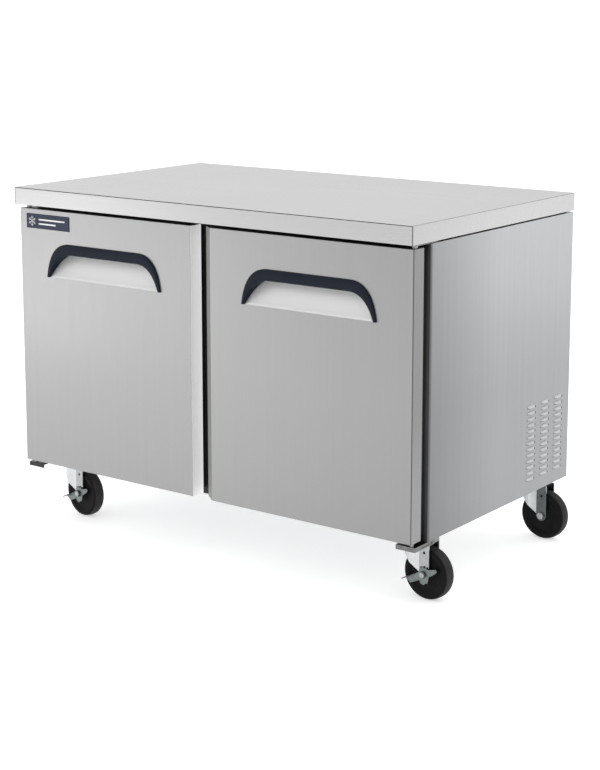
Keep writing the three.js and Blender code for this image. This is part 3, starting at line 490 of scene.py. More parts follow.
# Painted shade on the front axle bolts, which are the same part as the bright zinc rear ones; the brake
# levers are this darker zinc too.
ZINC_DARKENED = plated_steel("zinc_dull", (0.13, 0.15, 0.148), (0.22, 0.245, 0.24), (0.35, 0.5))
# Painted shade: darkened zinc for the hinge plates under the doors and the worktop, and for the hinge
# slots.
ZINC_PAINTED_SHADE = plated_steel("zinc_dark", 0.12, 0.2, (0.25, 0.4))
# Painted shade: near-black zinc for the left bottom hinge, the mirror of the right one, in deeper shade.
ZINC_PAINTED_DEEP_SHADE = plated_steel("zinc_black", 0.03, 0.05, (0.25, 0.4))
NAVY = moulded_plastic(
    "navy_plastic", (0.004, 0.006, 0.013), (0.006, 0.009, 0.018), (0.42, 0.55), specular=0.13
)
PLATE_NAVY = moulded_plastic(
    "plate_enamel", (0.008, 0.013, 0.034), (0.011, 0.017, 0.042), (0.35, 0.45), 0.1
)
BLACK = moulded_plastic("black_plastic", 0.012, 0.02)
BREAKER = moulded_plastic("breaker_plastic", 0.018, 0.028, (0.55, 0.7))
# Painted shade: a near-black finish for the worktop core and for cut faces in grooves and openings where
# shade falls.
SHADE_BLACK = moulded_plastic("core_board", 0.02, 0.035, (0.7, 0.85), 0.4, 300)
GASKET = moulded_plastic("gasket_rubber", 0.01, 0.016, (0.6, 0.75), 0.15, 500)
LINER = moulded_plastic("liner_plastic", 0.72, 0.78, (0.35, 0.45), 0.1, 900)
# Painted shade: the doors' inner panels are a darker copy of the liner plastic.
DOOR_LINER_SHADED = moulded_plastic("door_liner_plastic", 0.5, 0.54, (0.35, 0.45), 0.1, 900)
WIRE = moulded_plastic("wire_coating", 0.7, 0.78, (0.25, 0.35), 0.05)
RUBBER = worn_rubber("wheel_rubber", 0.002, 0.005)
# Painted highlight: the tread is paler than the wheel's faces, where it catches the light.
TREAD_HIGHLIGHT = worn_rubber("wheel_tread", 0.02, 0.035)
ALUMINIUM = plated_steel("fin_aluminium", 0.66, 0.78, (0.3, 0.5))
COMPRESSOR = moulded_plastic("compressor_paint", 0.012, 0.02, (0.2, 0.3), 0.1, 400)
FOAM = foam_material()


# ---- camera, lights and floor
CAMERA_AZIMUTH = 36.484
CAMERA_ELEVATION = 9.706
CAMERA_LENS = 80.92
CAMERA_DISTANCE = 4.438
CAMERA_AIM = Vector((MIDDLE + 0.029, 0, 0.672))
CAMERA_SHIFT = -0.14
FLOOR_SIZE = 400


def add_camera():
    azimuth, elevation = math.radians(CAMERA_AZIMUTH), math.radians(CAMERA_ELEVATION)
    level = math.cos(elevation)
    forward = Vector((-math.sin(azimuth) * level, math.cos(azimuth) * level, -math.sin(elevation)))
    data = bpy.data.cameras.new("camera")
    data.lens = CAMERA_LENS
    data.sensor_width = 36
    data.shift_y = CAMERA_SHIFT
    camera = bpy.data.objects.new("camera", data)
    camera.location = CAMERA_AIM - forward * CAMERA_DISTANCE
    camera.rotation_euler = forward.to_track_quat("-Z", "Y").to_euler()
    bpy.context.scene.collection.objects.link(camera)
    bpy.context.scene.camera = camera


def multiplied(tree, one, other):
    node = tree.nodes.new("ShaderNodeMath")
    node.operation = "MULTIPLY"
    tree.links.new(one, node.inputs[0])
    tree.links.new(other, node.inputs[1])
    return node.outputs["Value"]


def add_world():
    """Pale surroundings, brighter overhead and darker on the right; the camera itself sees white."""
    world = bpy.data.worlds.new("studio")
    bpy.context.scene.world = world
    world.use_nodes = True
    tree = world.node_tree
    new, join = tree.nodes.new, tree.links.new
    place = new("ShaderNodeTexCoord")
    split = new("ShaderNodeSeparateXYZ")
    join(place.outputs["Generated"], split.inputs["Vector"])
    front = ranged(tree, split.outputs["X"], 0.86, 0.6, -0.6, 0.8)
    left = ranged(tree, split.outputs["X"], 1.3, 1.0, -1.0, -0.65)
    height = ranged(tree, split.outputs["Z"], 0.78, 1.4, -0.05, 0.4)
    level = multiplied(tree, multiplied(tree, front, left), height)
    lit = tree.nodes["Background"]
    seen = new("ShaderNodeBackground")
    for background in (lit, seen):
        background.inputs["Color"].default_value = (1, 1, 1, 1)
    join(level, lit.inputs["Strength"])
    path = new("ShaderNodeLightPath")
    mix = new("ShaderNodeMixShader")
    join(path.outputs["Is Camera Ray"], mix.inputs["Fac"])
    join(lit.outputs["Background"], mix.inputs[1])
    join(seen.outputs["Background"], mix.inputs[2])
    join(mix.outputs["Shader"], tree.nodes["World Output"].inputs["Surface"])


def add_softbox(name, place, aim, size, power):
    """A rectangular lamp that the camera doesn't see."""
    data = bpy.data.lights.new(name, "AREA")
    data.shape = "RECTANGLE"
    data.size, data.size_y = size
    data.energy = power
    lamp = bpy.data.objects.new(name, data)
    lamp.location = place
    lamp.visible_camera = False
    lamp.rotation_euler = (Vector(aim) - Vector(place)).to_track_quat("-Z", "Y").to_euler()
    bpy.context.scene.collection.objects.link(lamp)


def add_floor():
    bm = bmesh.new()
    surface_grid(bm, 2, 2, lambda u, v: ((u - 0.5) * FLOOR_SIZE, (v - 0.5) * FLOOR_SIZE, 0))
    g = Graph("floor_paint")
    g.feed(g.tint(g.noise(3, 3), 0.88, 0.92), "Base Color")
    g.set(Roughness=0.8, Emission_Strength=0.45, Emission_Color=(1, 1, 1, 1))
    make_object("floor", bm, g.material)


def add_studio():
    add_world()
    add_floor()
    add_softbox("key_light", (-3.2, -4.2, 3.6), (-0.3, -0.36, 0.6), (2.4, 2.4), 16)
    add_softbox("left_light", (-2.1, -1.9, 0.35), (-0.5, -0.36, 0.5), (0.8, 0.6), 2.2)
    add_softbox("top_light", (0.3, 0.4, 4.6), (0, 0, 0.8), (4.0, 4.0), 60)
    add_softbox("front_right_light", (3.4, -1.2, 1.6), (0, 0, 0.4), (2.8, 2.8), 14)
    add_softbox("back_right_light", (2.0, 2.5, 0.5), (0.6, 0.3, 0.5), (0.8, 0.8), 1.5)
    bpy.context.scene.view_settings.view_transform = "Standard"


# ---- worktop and case
SHEET = 1.5 * MM
PAST = 2 * MM  # how far a cutter reaches past a sheet
FOLD_R = 1.6 * MM  # outer radius of a sharp fold
WORKTOP_HEM = 14 * MM  # width of the hem round the open underside
SEAM = (0.9 * MM, 2.6 * MM)  # the apron's seam lies this far from the edge
SEAM_DEEP = 0.8 * MM


def top_box(inset, bottom, top):
    """A box between two heights, this far inside the worktop's sides."""
    bm = bmesh.new()
    box(bm, (TOP_LO.x + inset, TOP_LO.y + inset, bottom), (TOP_HI.x - inset, TOP_HI.y - inset, top))
    return bm


def add_worktop():
    """Folded pan, hollow and open below, with round edges, a lip and a fine seam round its front, whose
    groove is painted black as painted shade.
    """
    low, high = TOP_LO, TOP_HI
    pan = make_object("worktop_pan", top_box(0, low.z, high.z), STEEL_TOP)
    soften(pan, FOLD_R)
    settle(pan)
    carve(pan, top_box(SHEET, low.z + SHEET, high.z - SHEET), STEEL_TOP)
    carve(pan, top_box(WORKTOP_HEM, low.z - SHEET, low.z + 2 * SHEET), STEEL_TOP)
    seams = bmesh.new()
    near, far = SEAM
    deep = low.y + SEAM_DEEP
    box(seams, (low.x + near, low.y - SHEET, high.z - far), (high.x - near, deep, high.z - near))
    box(seams, (low.x + near, low.y - SHEET, low.z - SHEET), (low.x + far, deep, high.z - far))
    box(seams, (high.x - far, low.y - SHEET, low.z - SHEET), (high.x - near, deep, high.z - far))
    # Painted shade: the seam grooves' cut faces are black.
    carve(pan, seams, SHADE_BLACK)
    sharpen(pan)
    even_normals(pan)
    show(pan, "cabinet", "worktop_steel", "worktop")


CORNER_R = 10 * MM
FLANGE = 24 * MM
LOUVRE_ROWS = 13
LOUVRE_PITCH = 15.33 * MM
LOUVRE_TOP = 385.5 * MM
LOUVRE_COLUMNS = (178 * MM, 247 * MM, 316 * MM)
LOUVRE_HALF = 19 * MM
LOUVRE_TALL = 8.5 * MM
LOUVRE_OUT = 4.2 * MM
LOUVRE_STEEP = 0.25  # a hood is painted pale, as painted highlight, where the z of its normal is larger
LOUVRE_SHEET = 0.6 * MM
LOUVRE_LIFT = 0.1 * MM  # from the panel to the hoods' upper edges
MOUTH = (6.3 * MM, 2.6 * MM)  # the opening behind a hood, below the hood's top
MOUTH_ENDS = (2 * MM, 5 * MM)  # from the hood's ends to the opening's
NOTCH_DEEP = 1 * MM  # notch at a hood's rear lower corner, its faces painted black as painted shadow
NOTCH_HALF = 4 * MM
NOTCH_TOP = 5 * MM  # below the hood's top
CAD_LOUVRE_OUT = 3.6 * MM  # how far the CAD panel's louvres stand out
TOP_LIP = 14 * MM
TOP_LIP_RISE = 0.2 * MM
TAB_DROP = 9 * MM
TAB = (-267 * MM, -246 * MM)  # front and back of the drop tab


def louvre_places():
    for y in LOUVRE_COLUMNS:
        for row in range(LOUVRE_ROWS):
            yield y, LOUVRE_TOP - row * LOUVRE_PITCH


def panel_outline(side, outer, front, back):
    """Plan of a folded side panel: a flat side, a round front corner and a short front flange."""
    middle = (outer - CORNER_R, front + CORNER_R)
    points = [(outer, back)]
    points += arc(middle, CORNER_R, 0, -90, 10)
    points += [(outer - FLANGE, front), (outer - FLANGE, front + SHEET)]
    points += arc(middle, CORNER_R - SHEET, -90, 0, 10)
    points += [(outer - SHEET, back)]
    return [(MIDDLE + side * a, b) for a, b in points]


def louvre_cuts(side, outer):
    """Openings behind the hoods, and a shallow notch at each hood's rear lower corner as painted shadow.
    """
    bm = bmesh.new()
    reach = 6 * MM
    low, high = MOUTH
    front, back = MOUTH_ENDS
    for y, z in louvre_places():
        start, end = y - LOUVRE_HALF, y + LOUVRE_HALF
        a, b = on_side(side, outer - reach, outer + reach)
        box(bm, (a, start + front, z - low), (b, end - back, z - high))
        a, b = on_side(side, outer - NOTCH_DEEP, outer + reach)
        under = z - LOUVRE_TALL - SHEET
        box(bm, (a, end - NOTCH_HALF, under), (b, end + NOTCH_HALF, z - NOTCH_TOP))
    return bm


def add_side_panel(name, side):
    """Folded side panel with a drop tab at the front, a lip at the top and three columns of louvres."""
    node = f"side_panel_{name}"
    low, high = corners_of(node)
    outer = max(high.x - MIDDLE, MIDDLE - low.x) - CAD_LOUVRE_OUT
    bm = bmesh.new()
    prism(bm, panel_outline(side, outer, low.y, high.y), "z", low.z, high.z)
    tab = on_side(side, outer, outer - SHEET)
    box(bm, (tab[0], TAB[0], low.z - TAB_DROP), (tab[1], TAB[1], low.z))
    lip = on_side(side, outer - SHEET, outer - TOP_LIP)
    start = (lip[0], low.y + CORNER_R, high.z - SHEET)
    box(bm, start, (lip[1], high.y - SHEET, high.z + TOP_LIP_RISE))
    panel = make_object(f"side_panel_{name}_sheet", bm, STEEL_SIDE)
    # Painted shade: the openings' and notches' cut faces take the black shade finish.
    carve(panel, louvre_cuts(side, outer), SHADE_BLACK)
    sharpen(panel)
    even_normals(panel)
    show(panel, "cabinet", "case_steel", node)
    add_louvres(name, side, outer)


def add_louvres(name, side, outer):
    """Pressed hoods that slope outwards and open downwards."""
    bm = bmesh.new()
    for y, z in louvre_places():
        def hood(u, v, y=y, z=z):
            across = 2 * u - 1
            reach = 1 - abs(across) ** 4
            drop = LOUVRE_TALL * (1 - (1 - v) * (0.45 + 0.55 * reach))
            out = LOUVRE_OUT * math.sin(v * math.pi / 2) * reach
            return (MIDDLE + side * (outer + LOUVRE_LIFT + out), y + across * LOUVRE_HALF, z - drop)

        surface_grid(bm, 16, 6, hood)
    hoods = make_object(f"louvres_{name}", bm, STEEL_LOUVRE_HIGHLIGHT)
    # Painted highlight: the hoods are pale, and their steep faces keep the side steel's darker tone.
    paint(hoods, STEEL_SIDE, lambda face: abs(face.normal.z) < LOUVRE_STEEP)
    thicken(hoods, LOUVRE_SHEET, -side)
    show(hoods, "cabinet", "case_steel")


CAVITY_FLOOR = 208 * MM
CAVITY_ROOF = 797 * MM
FRAME_RIM = 3 * MM  # the frame's opening is this far inside the liner's outer faces
SHADE_FILM = 0.25 * MM
SHADE_FILM_LIFT = 0.02 * MM  # from the panel to the painted-shade film over it
SHADE_FILM_END = -32  # degrees round the corner bend
SHADE_FILM_SHORT = 1 * MM  # from the frame's upper and lower ends to the painted-shade film's


def add_face_frame():
    """Black breaker frame; a black film on the side panels' flanges, running onto round part of the
    corner bend, stands there as painted shade.
    """
    low, high = corners_of("face_frame")
    liner_low, liner_high = corners_of("inner_liner")
    inner_low, inner_high = liner_low.x + FRAME_RIM, liner_high.x - FRAME_RIM
    bm = bmesh.new()
    box(bm, (low.x, low.y, low.z), (inner_low, high.y, high.z))
    box(bm, (inner_high, low.y, low.z), (high.x, high.y, high.z))
    box(bm, (inner_low, low.y, low.z), (inner_high, high.y, CAVITY_FLOOR))
    box(bm, (inner_low, low.y, CAVITY_ROOF), (inner_high, high.y, high.z))
    outer = corners_of("side_panel_right")[1].x - CAD_LOUVRE_OUT - MIDDLE
    bend = (outer - CORNER_R, low.y + CORNER_R)
    # Painted shade: a black film over the flanges, where the front corner lies in shade.
    shade_film = [(outer - FLANGE, low.y - SHADE_FILM_LIFT), (outer - FLANGE, low.y - SHADE_FILM)]
    shade_film += arc(bend, CORNER_R + SHADE_FILM, -90, SHADE_FILM_END, 6)
    shade_film += arc(bend, CORNER_R + SHADE_FILM_LIFT, SHADE_FILM_END, -90, 6)
    for side in (-1, 1):
        plan = [(MIDDLE + side * a, b) for a, b in shade_film]
        prism(bm, plan, "z", low.z + SHADE_FILM_SHORT, high.z - SHADE_FILM_SHORT)
    show(make_object("face_frame_mouth", bm, BREAKER), "cabinet", "breaker_plastic", "face_frame")


GRILLE_X = 330 * MM
GRILLE_HALF = 150 * MM
GRILLE_ROWS = 7
GRILLE_LOW = 40 * MM  # lowest slot above the grille's lower edge
GRILLE_PITCH = 24 * MM
GRILLE_SLOT_R = 5 * MM
INLET_HOLE = ((536 * MM, 204 * MM), (564 * MM, 228 * MM))
GRILLE_SCREWS = (-590 * MM, -120 * MM, 120 * MM, 590 * MM)
GRILLE_SCREW_INSET = 12 * MM
PANEL_SCREWS = (-590 * MM, 0, 590 * MM)
PANEL_SCREW_HEIGHTS = (405 * MM, 830 * MM)
SCREW_HEAD = ((0.01, 0), (4, 0), (4, 0.6), (3, 1.7), (0.01, 2.1))  # (radius, height) in mm


def add_rear_screws(places, y):
    """Pan-head screws that face the back."""
    bm = bmesh.new()
    for x, z in places:
        lathe(bm, in_metres(SCREW_HEAD), (MIDDLE + x, y, z), (0, 1, 0), 16)
    add_piece("rear_screws", bm, ZINC, "cabinet", "zinc_steel")


def add_rear():
    """Plain rear panel over a screwed-on grille with two banks of slots."""
    dressed("rear_panel", "cabinet", "case_steel", STEEL_SIDE, 0.4 * MM)
    low, high = corners_of("rear_grille")
    bm = bmesh.new()
    box(bm, low, high)
    grille = make_object("rear_grille_sheet", bm, STEEL_SIDE)
    slots = bmesh.new()
    reach = GRILLE_HALF - GRILLE_SLOT_R
    for row in range(GRILLE_ROWS):
        z = low.z + GRILLE_LOW + GRILLE_SLOT_R + row * GRILLE_PITCH
        for x in (-GRILLE_X, GRILLE_X):
            outline = arc((MIDDLE + x + reach, z), GRILLE_SLOT_R, -90, 90, 8)
            outline += arc((MIDDLE + x - reach, z), GRILLE_SLOT_R, 90, 270, 8)
            prism(slots, outline, "y", low.y - PAST, high.y + PAST)
    (x0, z0), (x1, z1) = INLET_HOLE
    box(slots, (MIDDLE + x0, low.y - PAST, z0), (MIDDLE + x1, high.y + PAST, z1))
    carve(grille, slots, STEEL_SIDE)
    sharpen(grille)
    show(grille, "cabinet", "case_steel", "rear_grille")
    heights = (low.z + GRILLE_SCREW_INSET, high.z - GRILLE_SCREW_INSET)
    places = [(x, z) for x in GRILLE_SCREWS for z in heights]
    places += [(x, z) for x in PANEL_SCREWS for z in PANEL_SCREW_HEIGHTS]
    add_rear_screws(places, high.y)


def add_case():
    add_side_panel("right", 1)
    add_side_panel("left", -1)
    add_rear()
    dressed("base_panel", "cabinet", "zinc_steel", ZINC)
    add_face_frame()
    dressed("centre_mullion", "cabinet", "breaker_plastic", BREAKER, 2 * MM)


# ---- doors
HANDLE_TOP = 758 * MM
HANDLE_BOTTOM = 668 * MM
HANDLE_HALF = 192 * MM
HANDLE_FLAT = 117 * MM  # half length of the arch's flat top
HANDLE_SHOULDER = 63 * MM  # from the flat's end out to the shoulder curve's control point
HANDLE_BAND = 27 * MM  # the grip's width over the flat top
HANDLE_TIP = 8 * MM  # and at its feet
INNER_SHOULDER = 48 * MM
INNER_FLAT = HANDLE_FLAT - 2 * MM
INNER_TOP = HANDLE_TOP - HANDLE_BAND
PROUD = 5 * MM  # the grip's front stands out this far from the door
GRIP_ROOT = 0.6 * MM  # the grip's outer edge starts this far inside the door's face
GRIP_CORNER = (2.2 * MM, 0.7 * MM)  # its corners start and turn this far behind its front
CUP_DEPTH = 34 * MM
CUP_SHEET = 1.2 * MM
CUP_INSET = (1.5 * MM, 2 * MM)  # from the arch to the cup's sides and top
CUP_LIFT = 0.15 * MM
ARCH_CUT = (20 * MM, 4 * MM)  # from the face and the cup to the cutter's ends


def arch_side(half, flat, shoulder, top, steps):
    """One side of an arch from its foot to the end of its flat top, as (x, z) points."""
    points = []
    for i in range(steps + 1):
        t = i / steps
        x = (1 - t) ** 2 * half + 2 * t * (1 - t) * (flat + shoulder) + t * t * flat
        z = (1 - t) ** 2 * HANDLE_BOTTOM + (1 - (1 - t) ** 2) * top
        points.append((x, z))
    return points


def arch_path(half, flat, shoulder, top, steps=18, flat_steps=8):
    """An arch from its left foot over its flat top to its right foot."""
    right = arch_side(half, flat, shoulder, top, steps)
    left = [(-x, z) for x, z in right]
    level = [(-flat + 2 * flat * i / flat_steps, top) for i in range(1, flat_steps)]
    return left + level + right[::-1]


OUTER_SIZES = (HANDLE_HALF, HANDLE_FLAT, HANDLE_SHOULDER, HANDLE_TOP)
OUTER_ARCH = arch_path(*OUTER_SIZES)
INNER_ARCH = arch_path(HANDLE_HALF - HANDLE_TIP, INNER_FLAT, INNER_SHOULDER, INNER_TOP)


def cup_depth(z):
    """How far the cup's sloping floor lies behind the door's face."""
    share = (z - HANDLE_BOTTOM) / (INNER_TOP - HANDLE_BOTTOM)
    return CUP_DEPTH * min(1.0, max(0.0, share)) ** 0.9


def grip_section(outer, inner):
    """Section of the grip between an outer and an inner arch point: (share from outer, y)."""
    width = math.dist(outer, inner)
    edge = min(2 * MM, width * 0.3) / width
    back = max(1 * MM, cup_depth(inner[1]) - 0.4 * MM)
    start, turn = GRIP_CORNER
    return [
        (0.0, GRIP_ROOT),
        (0.0, -PROUD + start),
        (edge * 0.3, -PROUD + turn),
        (edge, -PROUD),
        (1 - edge, -PROUD),
        (1 - edge * 0.3, -PROUD + turn),
        (1.0, -PROUD + start),
        (1.0, back),
        (0.5, back),
    ]


def add_grip(side, middle, face):
    """Arched grip: a rounded section swept between the two arches."""
    bm = bmesh.new()
    rings = []
    for outer, inner in zip(OUTER_ARCH, INNER_ARCH):
        ring = []
        for share, y in grip_section(outer, inner):
            x = outer[0] + (inner[0] - outer[0]) * share
            z = outer[1] + (inner[1] - outer[1]) * share
            ring.append(bm.verts.new((middle + x, face + y, z)))
        rings.append(ring)
    for near, far in zip(rings, rings[1:]):
        bridge(bm, near, far)
    bm.faces.new(rings[0])
    bm.faces.new(rings[-1])
    add_piece(f"grip_{side}", bm, NAVY, f"door_{side}", "navy_plastic", f"handle_grip_{side}", crease=50)


def arch_half_width(z):
    """Half width of the outer arch at a height."""
    side = arch_side(*OUTER_SIZES, 40)
    for (x0, z0), (x1, z1) in zip(side, side[1:]):
        if z0 <= z <= z1:
            return x0 + (x1 - x0) * (z - z0) / max(z1 - z0, 1e-9)
    return HANDLE_FLAT


def add_cup(side, middle, face):
    """The pale sloping floor of the recess."""
    bm = bmesh.new()
    beside, above = CUP_INSET

    def point(u, v):
        z = HANDLE_BOTTOM + v * (HANDLE_TOP - above - HANDLE_BOTTOM)
        half = arch_half_width(z) - beside
        return (middle + (2 * u - 1) * half, face + cup_depth(z) + CUP_LIFT, z)

    surface_grid(bm, 24, 16, point)
    cup = make_object(f"cup_{side}", bm, STEEL_CUP)
    thicken(cup, CUP_SHEET, -1)
    show(cup, f"door_{side}", "cup_steel", f"handle_cup_{side}")


def door_plan(low, high, bevel):
    """Plan of a door's skin, with a finger bevel (across, deep) on its free edge or with None."""
    across, deep = bevel or (0, 0)
    points = [(low.x + across, low.y), (high.x, low.y), (high.x, high.y), (low.x, high.y)]
    if bevel:
        points.append((low.x, low.y + deep))
    return points


DOOR_BEVEL = (32 * MM, 25 * MM)
SMALL_FACE = 1e-3  # square metres


def add_door_skin(side, bevel, middle):
    """Folded door skin with the handle's arch cut out; its edges are painted paler or darker than its
    face, as painted light and shade.
    """
    low, high = corners_of(f"door_skin_{side}")
    bm = bmesh.new()
    prism(bm, door_plan(low, high, bevel), "z", low.z, high.z)
    skin = make_object(f"door_{side}_sheet", bm, STEEL_DOOR)
    soften(skin, FOLD_R)
    settle(skin)
    cutter = bmesh.new()
    outline = [(middle + x, z) for x, z in OUTER_ARCH]
    front, back = ARCH_CUT
    prism(cutter, outline, "y", low.y - front, low.y + CUP_DEPTH + back)
    carve(skin, cutter, STEEL_DOOR)
    sharpen(skin)
    even_normals(skin)
    if bevel:
        # Painted shade: the finger bevel's faces are a darker copy of the door steel.
        paint(skin, STEEL_BEVEL_SHADED, lambda face: -0.9 < face.normal.x < -0.3 and face.area > SMALL_FACE)
        # Painted shade: the hinge-side edge is a darker copy of the door steel, lighter towards the
        # bottom.
        paint(skin, STEEL_HINGE_EDGE_SHADED, lambda face: face.normal.x > 0.98)
        # Painted shade: the narrow front fold on the hinge side is nearly black.
        paint(skin, STEEL_FOLD_PAINTED_SHADE, lambda face: face.normal.x > 0.15 and face.normal.y < -0.15)
    else:
        # Painted light: the left door's free edge is painted pale and glows faintly in its deep part.
        paint(skin, STEEL_EDGE_PAINTED_LIGHT, lambda face: face.normal.x > 0.9 and face.center.x > high.x - SHEET)
    show(skin, f"door_{side}", "door_steel", f"door_skin_{side}", f"door_foam_{side}")


GASKET_WIDTH = 22.7 * MM
GASKET_SECTION = [  # (inwards, back) shares of the gasket's width and depth
    (0.0, 0.0), (1.0, 0.0), (1.0, 0.16), (0.9, 0.22), (0.94, 0.34), (0.82, 0.46), (0.94, 0.58),
    (0.9, 0.7), (0.98, 0.78), (0.98, 0.94), (0.92, 1.0), (0.12, 1.0), (0.04, 0.94), (0.04, 0.78),
    (0.12, 0.7), (0.06, 0.58), (0.2, 0.46), (0.06, 0.34), (0.1, 0.22), (0.0, 0.16),
]


def add_gasket(side):
    """Magnetic gasket: a bellows section mitred round the door."""
    low, high = corners_of(f"door_gasket_{side}")
    depth = high.y - low.y
    bm = bmesh.new()
    rings = []
    for x, z in ((low.x, low.z), (high.x, low.z), (high.x, high.z), (low.x, high.z)):
        in_x = 1 if x == low.x else -1
        in_z = 1 if z == low.z else -1
        ring = []
        for inwards, back in GASKET_SECTION:
            step = inwards * GASKET_WIDTH
            ring.append(bm.verts.new((x + in_x * step, low.y + back * depth, z + in_z * step)))
        rings.append(ring)
    for i in range(4):
        bridge(bm, rings[i], rings[(i + 1) % 4])
    body, node = f"door_{side}", f"door_gasket_{side}"
    add_piece(f"gasket_{side}", bm, GASKET, body, "gasket_rubber", node, crease=60)


def add_door(side, bevel):
    face = corners_of(f"door_skin_{side}")[0].y
    grip_low, grip_high = corners_of(f"handle_grip_{side}")
    middle = (grip_low.x + grip_high.x) / 2
    add_door_skin(side, bevel, middle)
    add_grip(side, middle, face)
    add_cup(side, middle, face)
    add_gasket(side)
    dressed(f"door_inner_panel_{side}", f"door_{side}", "liner_plastic", DOOR_LINER_SHADED, 3 * MM)


FLAKE_X = 20 * MM  # middle of the snowflake from the plate's left edge
FLAKE_ARM = (13 * MM, 0.7 * MM)  # length and half width
FLAKE_BRANCH = (4.5 * MM, 0.5 * MM)
FLAKE_FORK = 7.5 * MM  # from the middle to the branches
BAR_X = 44 * MM
BAR_HALF = 2 * MM
MARK_PROUD = 0.25 * MM
MARK_SUNK = 0.3 * MM
BARS = ((5 * MM, 92 * MM), (-6 * MM, 60 * MM))  # (height above the middle, length)


def add_stroke(bm, root, degrees, size, front, back):
    """Adds a straight mark on the plate at an angle from its root, and gives its direction."""
    length, half = size
    a = math.radians(degrees)
    out = Vector((math.cos(a), 0, math.sin(a)))
    wide = Vector((-out.z, 0, out.x)) * half
    corners = [root - wide, root + wide, root + out * length + wide, root + out * length - wide]
    prism(bm, [(c.x, c.z) for c in corners], "y", front, back)
    return out


def add_name_plate():
    """A plain navy plate with a snowflake and two bars."""
    low, high = corners_of("name_plate")
    dressed("name_plate", "door_left", "navy_plastic", PLATE_NAVY, 0.5 * MM)
    bm = bmesh.new()
    front, back = low.y - MARK_PROUD, low.y + MARK_SUNK
    centre = Vector((low.x + FLAKE_X, 0, (low.z + high.z) / 2))
    for arm in range(6):
        degrees = 60 * arm + 30
        out = add_stroke(bm, centre, degrees, FLAKE_ARM, front, back)
        fork = centre + out * FLAKE_FORK
        for turn in (-50, 50):
            add_stroke(bm, fork, degrees + turn, FLAKE_BRANCH, front, back)
    for above, length in BARS:
        x, z = low.x + BAR_X, centre.z + above
        box(bm, (x, front, z - BAR_HALF), (x + length, back, z + BAR_HALF))
    show(make_object("name_plate_marks", bm, LINER), "door_left", "liner_plastic")


# ---- casters
WHEEL_PROFILE = [  # (radius, half width) in mm from the bore out over one face to the tread
    (5.6, 16.8), (12, 16.8), (15.5, 16.4), (17.5, 14.2), (20, 12.9), (24, 12.6), (40, 12.6), (43.5, 13.1),
    (46, 14.6), (49, 15.8), (54, 16.0), (58, 15.4), (60.6, 13.6), (62.3, 10.4), (63.2, 6.0), (63.45, 2.0),
]
TREAD_FROM = 62.4 * MM
CASTERS = ("front_left", "front_right", "rear_left", "rear_right")
TRAIL = 33 * MM
LEG_INNER = 18.6 * MM
LEG_T = 2.5 * MM
LEG_HALF = 14 * MM
SHOULDER = (3 * MM, 2 * MM, 16 * MM)  # rear edge of the legs: past the race at both ends, height
RACE_R = 30 * MM
CROWN = 139 * MM
CROWN_RISE = 4 * MM  # the legs' sheet runs this far up into the crown
FORK_CUT = 60 * MM  # half length of the cutters that go through both legs
AXLE_Z = JOINTS["wheel_front_left"]["pos_m"][2]
AXLE_R = 5 * MM
LEG_HOLE = 52 * MM  # above the axle
LEG_HOLE_R = 3.5 * MM
BRAKE_ROOM = 4 * MM  # a braked bolt's head stands out this much more, over the lever
BOLT_GAP = 0.4 * MM  # from the leg to the bolt's head
BOLT_R = 9 * MM
BOLT_HIGH = 5.2 * MM
BOLT_DOME = ((0.01, 5.2), (7, 5.2), (5.6, 6.3), (0.01, 6.8))  # (radius, height) in mm
CROWN_PROFILE = ((6.6, 0), (29, 0), (31.5, 1.5), (31.5, 4), (28, 7.2), (6.6, 7.2))
RACE_PROFILE = ((6, -11), (24, -11), (26.6, -8.5), (28.5, -5), (31, -2.9), (6, -2.9))
PLATE_TOP = corners_of("caster_plate_front_left")[1].z
PLATE_HALF = (47.5 * MM, 33.5 * MM)
PLATE_T = 3 * MM
PLATE_BOLTS = (37 * MM, 23 * MM)
PLATE_BOLT_R = 6.5 * MM
PLATE_BOLT_HIGH = 5 * MM
KINGPIN_R = 6 * MM
KINGPIN_Z = (28 * MM, 4 * MM)  # below the plate's top
KINGPIN_NUT_R = 10 * MM
KINGPIN_NUT_Z = (9.5 * MM, 0.5 * MM)  # below the crown


def fit_metal(piece, place, width, body, node):
    """Puts a caster's metal piece in place, its edges slightly rounded."""
    piece.data.transform(place)
    sharpen(piece)
    even_normals(soften(piece, width, 2))
    show(piece, body, "zinc_steel", node)


def add_wheel(name, centre, axis):
    """Wheel with a hub, a sunk web and a crowned tread."""
    half = in_metres(WHEEL_PROFILE)
    profile = half + [(r, -w) for r, w in reversed(half)]
    bm = bmesh.new()
    lathe(bm, profile, centre, axis, 72)
    wheel = make_object(f"wheel_{name}", bm, RUBBER)
    # Painted highlight: faces beyond TREAD_FROM take the paler tread rubber.
    paint(wheel, TREAD_HIGHLIGHT, lambda face: (face.center - Vector(centre)).length > TREAD_FROM)
    sharpen(wheel, 60)
    show(wheel, f"wheel_{name}", "wheel_rubber", f"caster_wheel_{name}")


def fork_plan(t):
    """Plan of the fork's bent sheet about the kingpin, grown by t."""
    legs = [(TRAIL + LEG_HALF, -LEG_INNER - t), (TRAIL - LEG_HALF, -LEG_INNER - t)]
    wrap = arc((0, 0), RACE_R + t, -90, -270, 28)
    return legs + wrap + [(x, -y) for x, y in reversed(legs)]


def fork_side():
    """Side view of the fork: wide at the crown and tapering to a round end at the axle."""
    upper, lower, drop = SHOULDER
    points = [(-RACE_R - upper, CROWN + CROWN_RISE), (-RACE_R - lower, CROWN - drop)]
    points += arc((TRAIL, AXLE_Z), LEG_HALF, 166, 360, 20)
    points += [(TRAIL + LEG_HALF, CROWN + CROWN_RISE)]
    return points


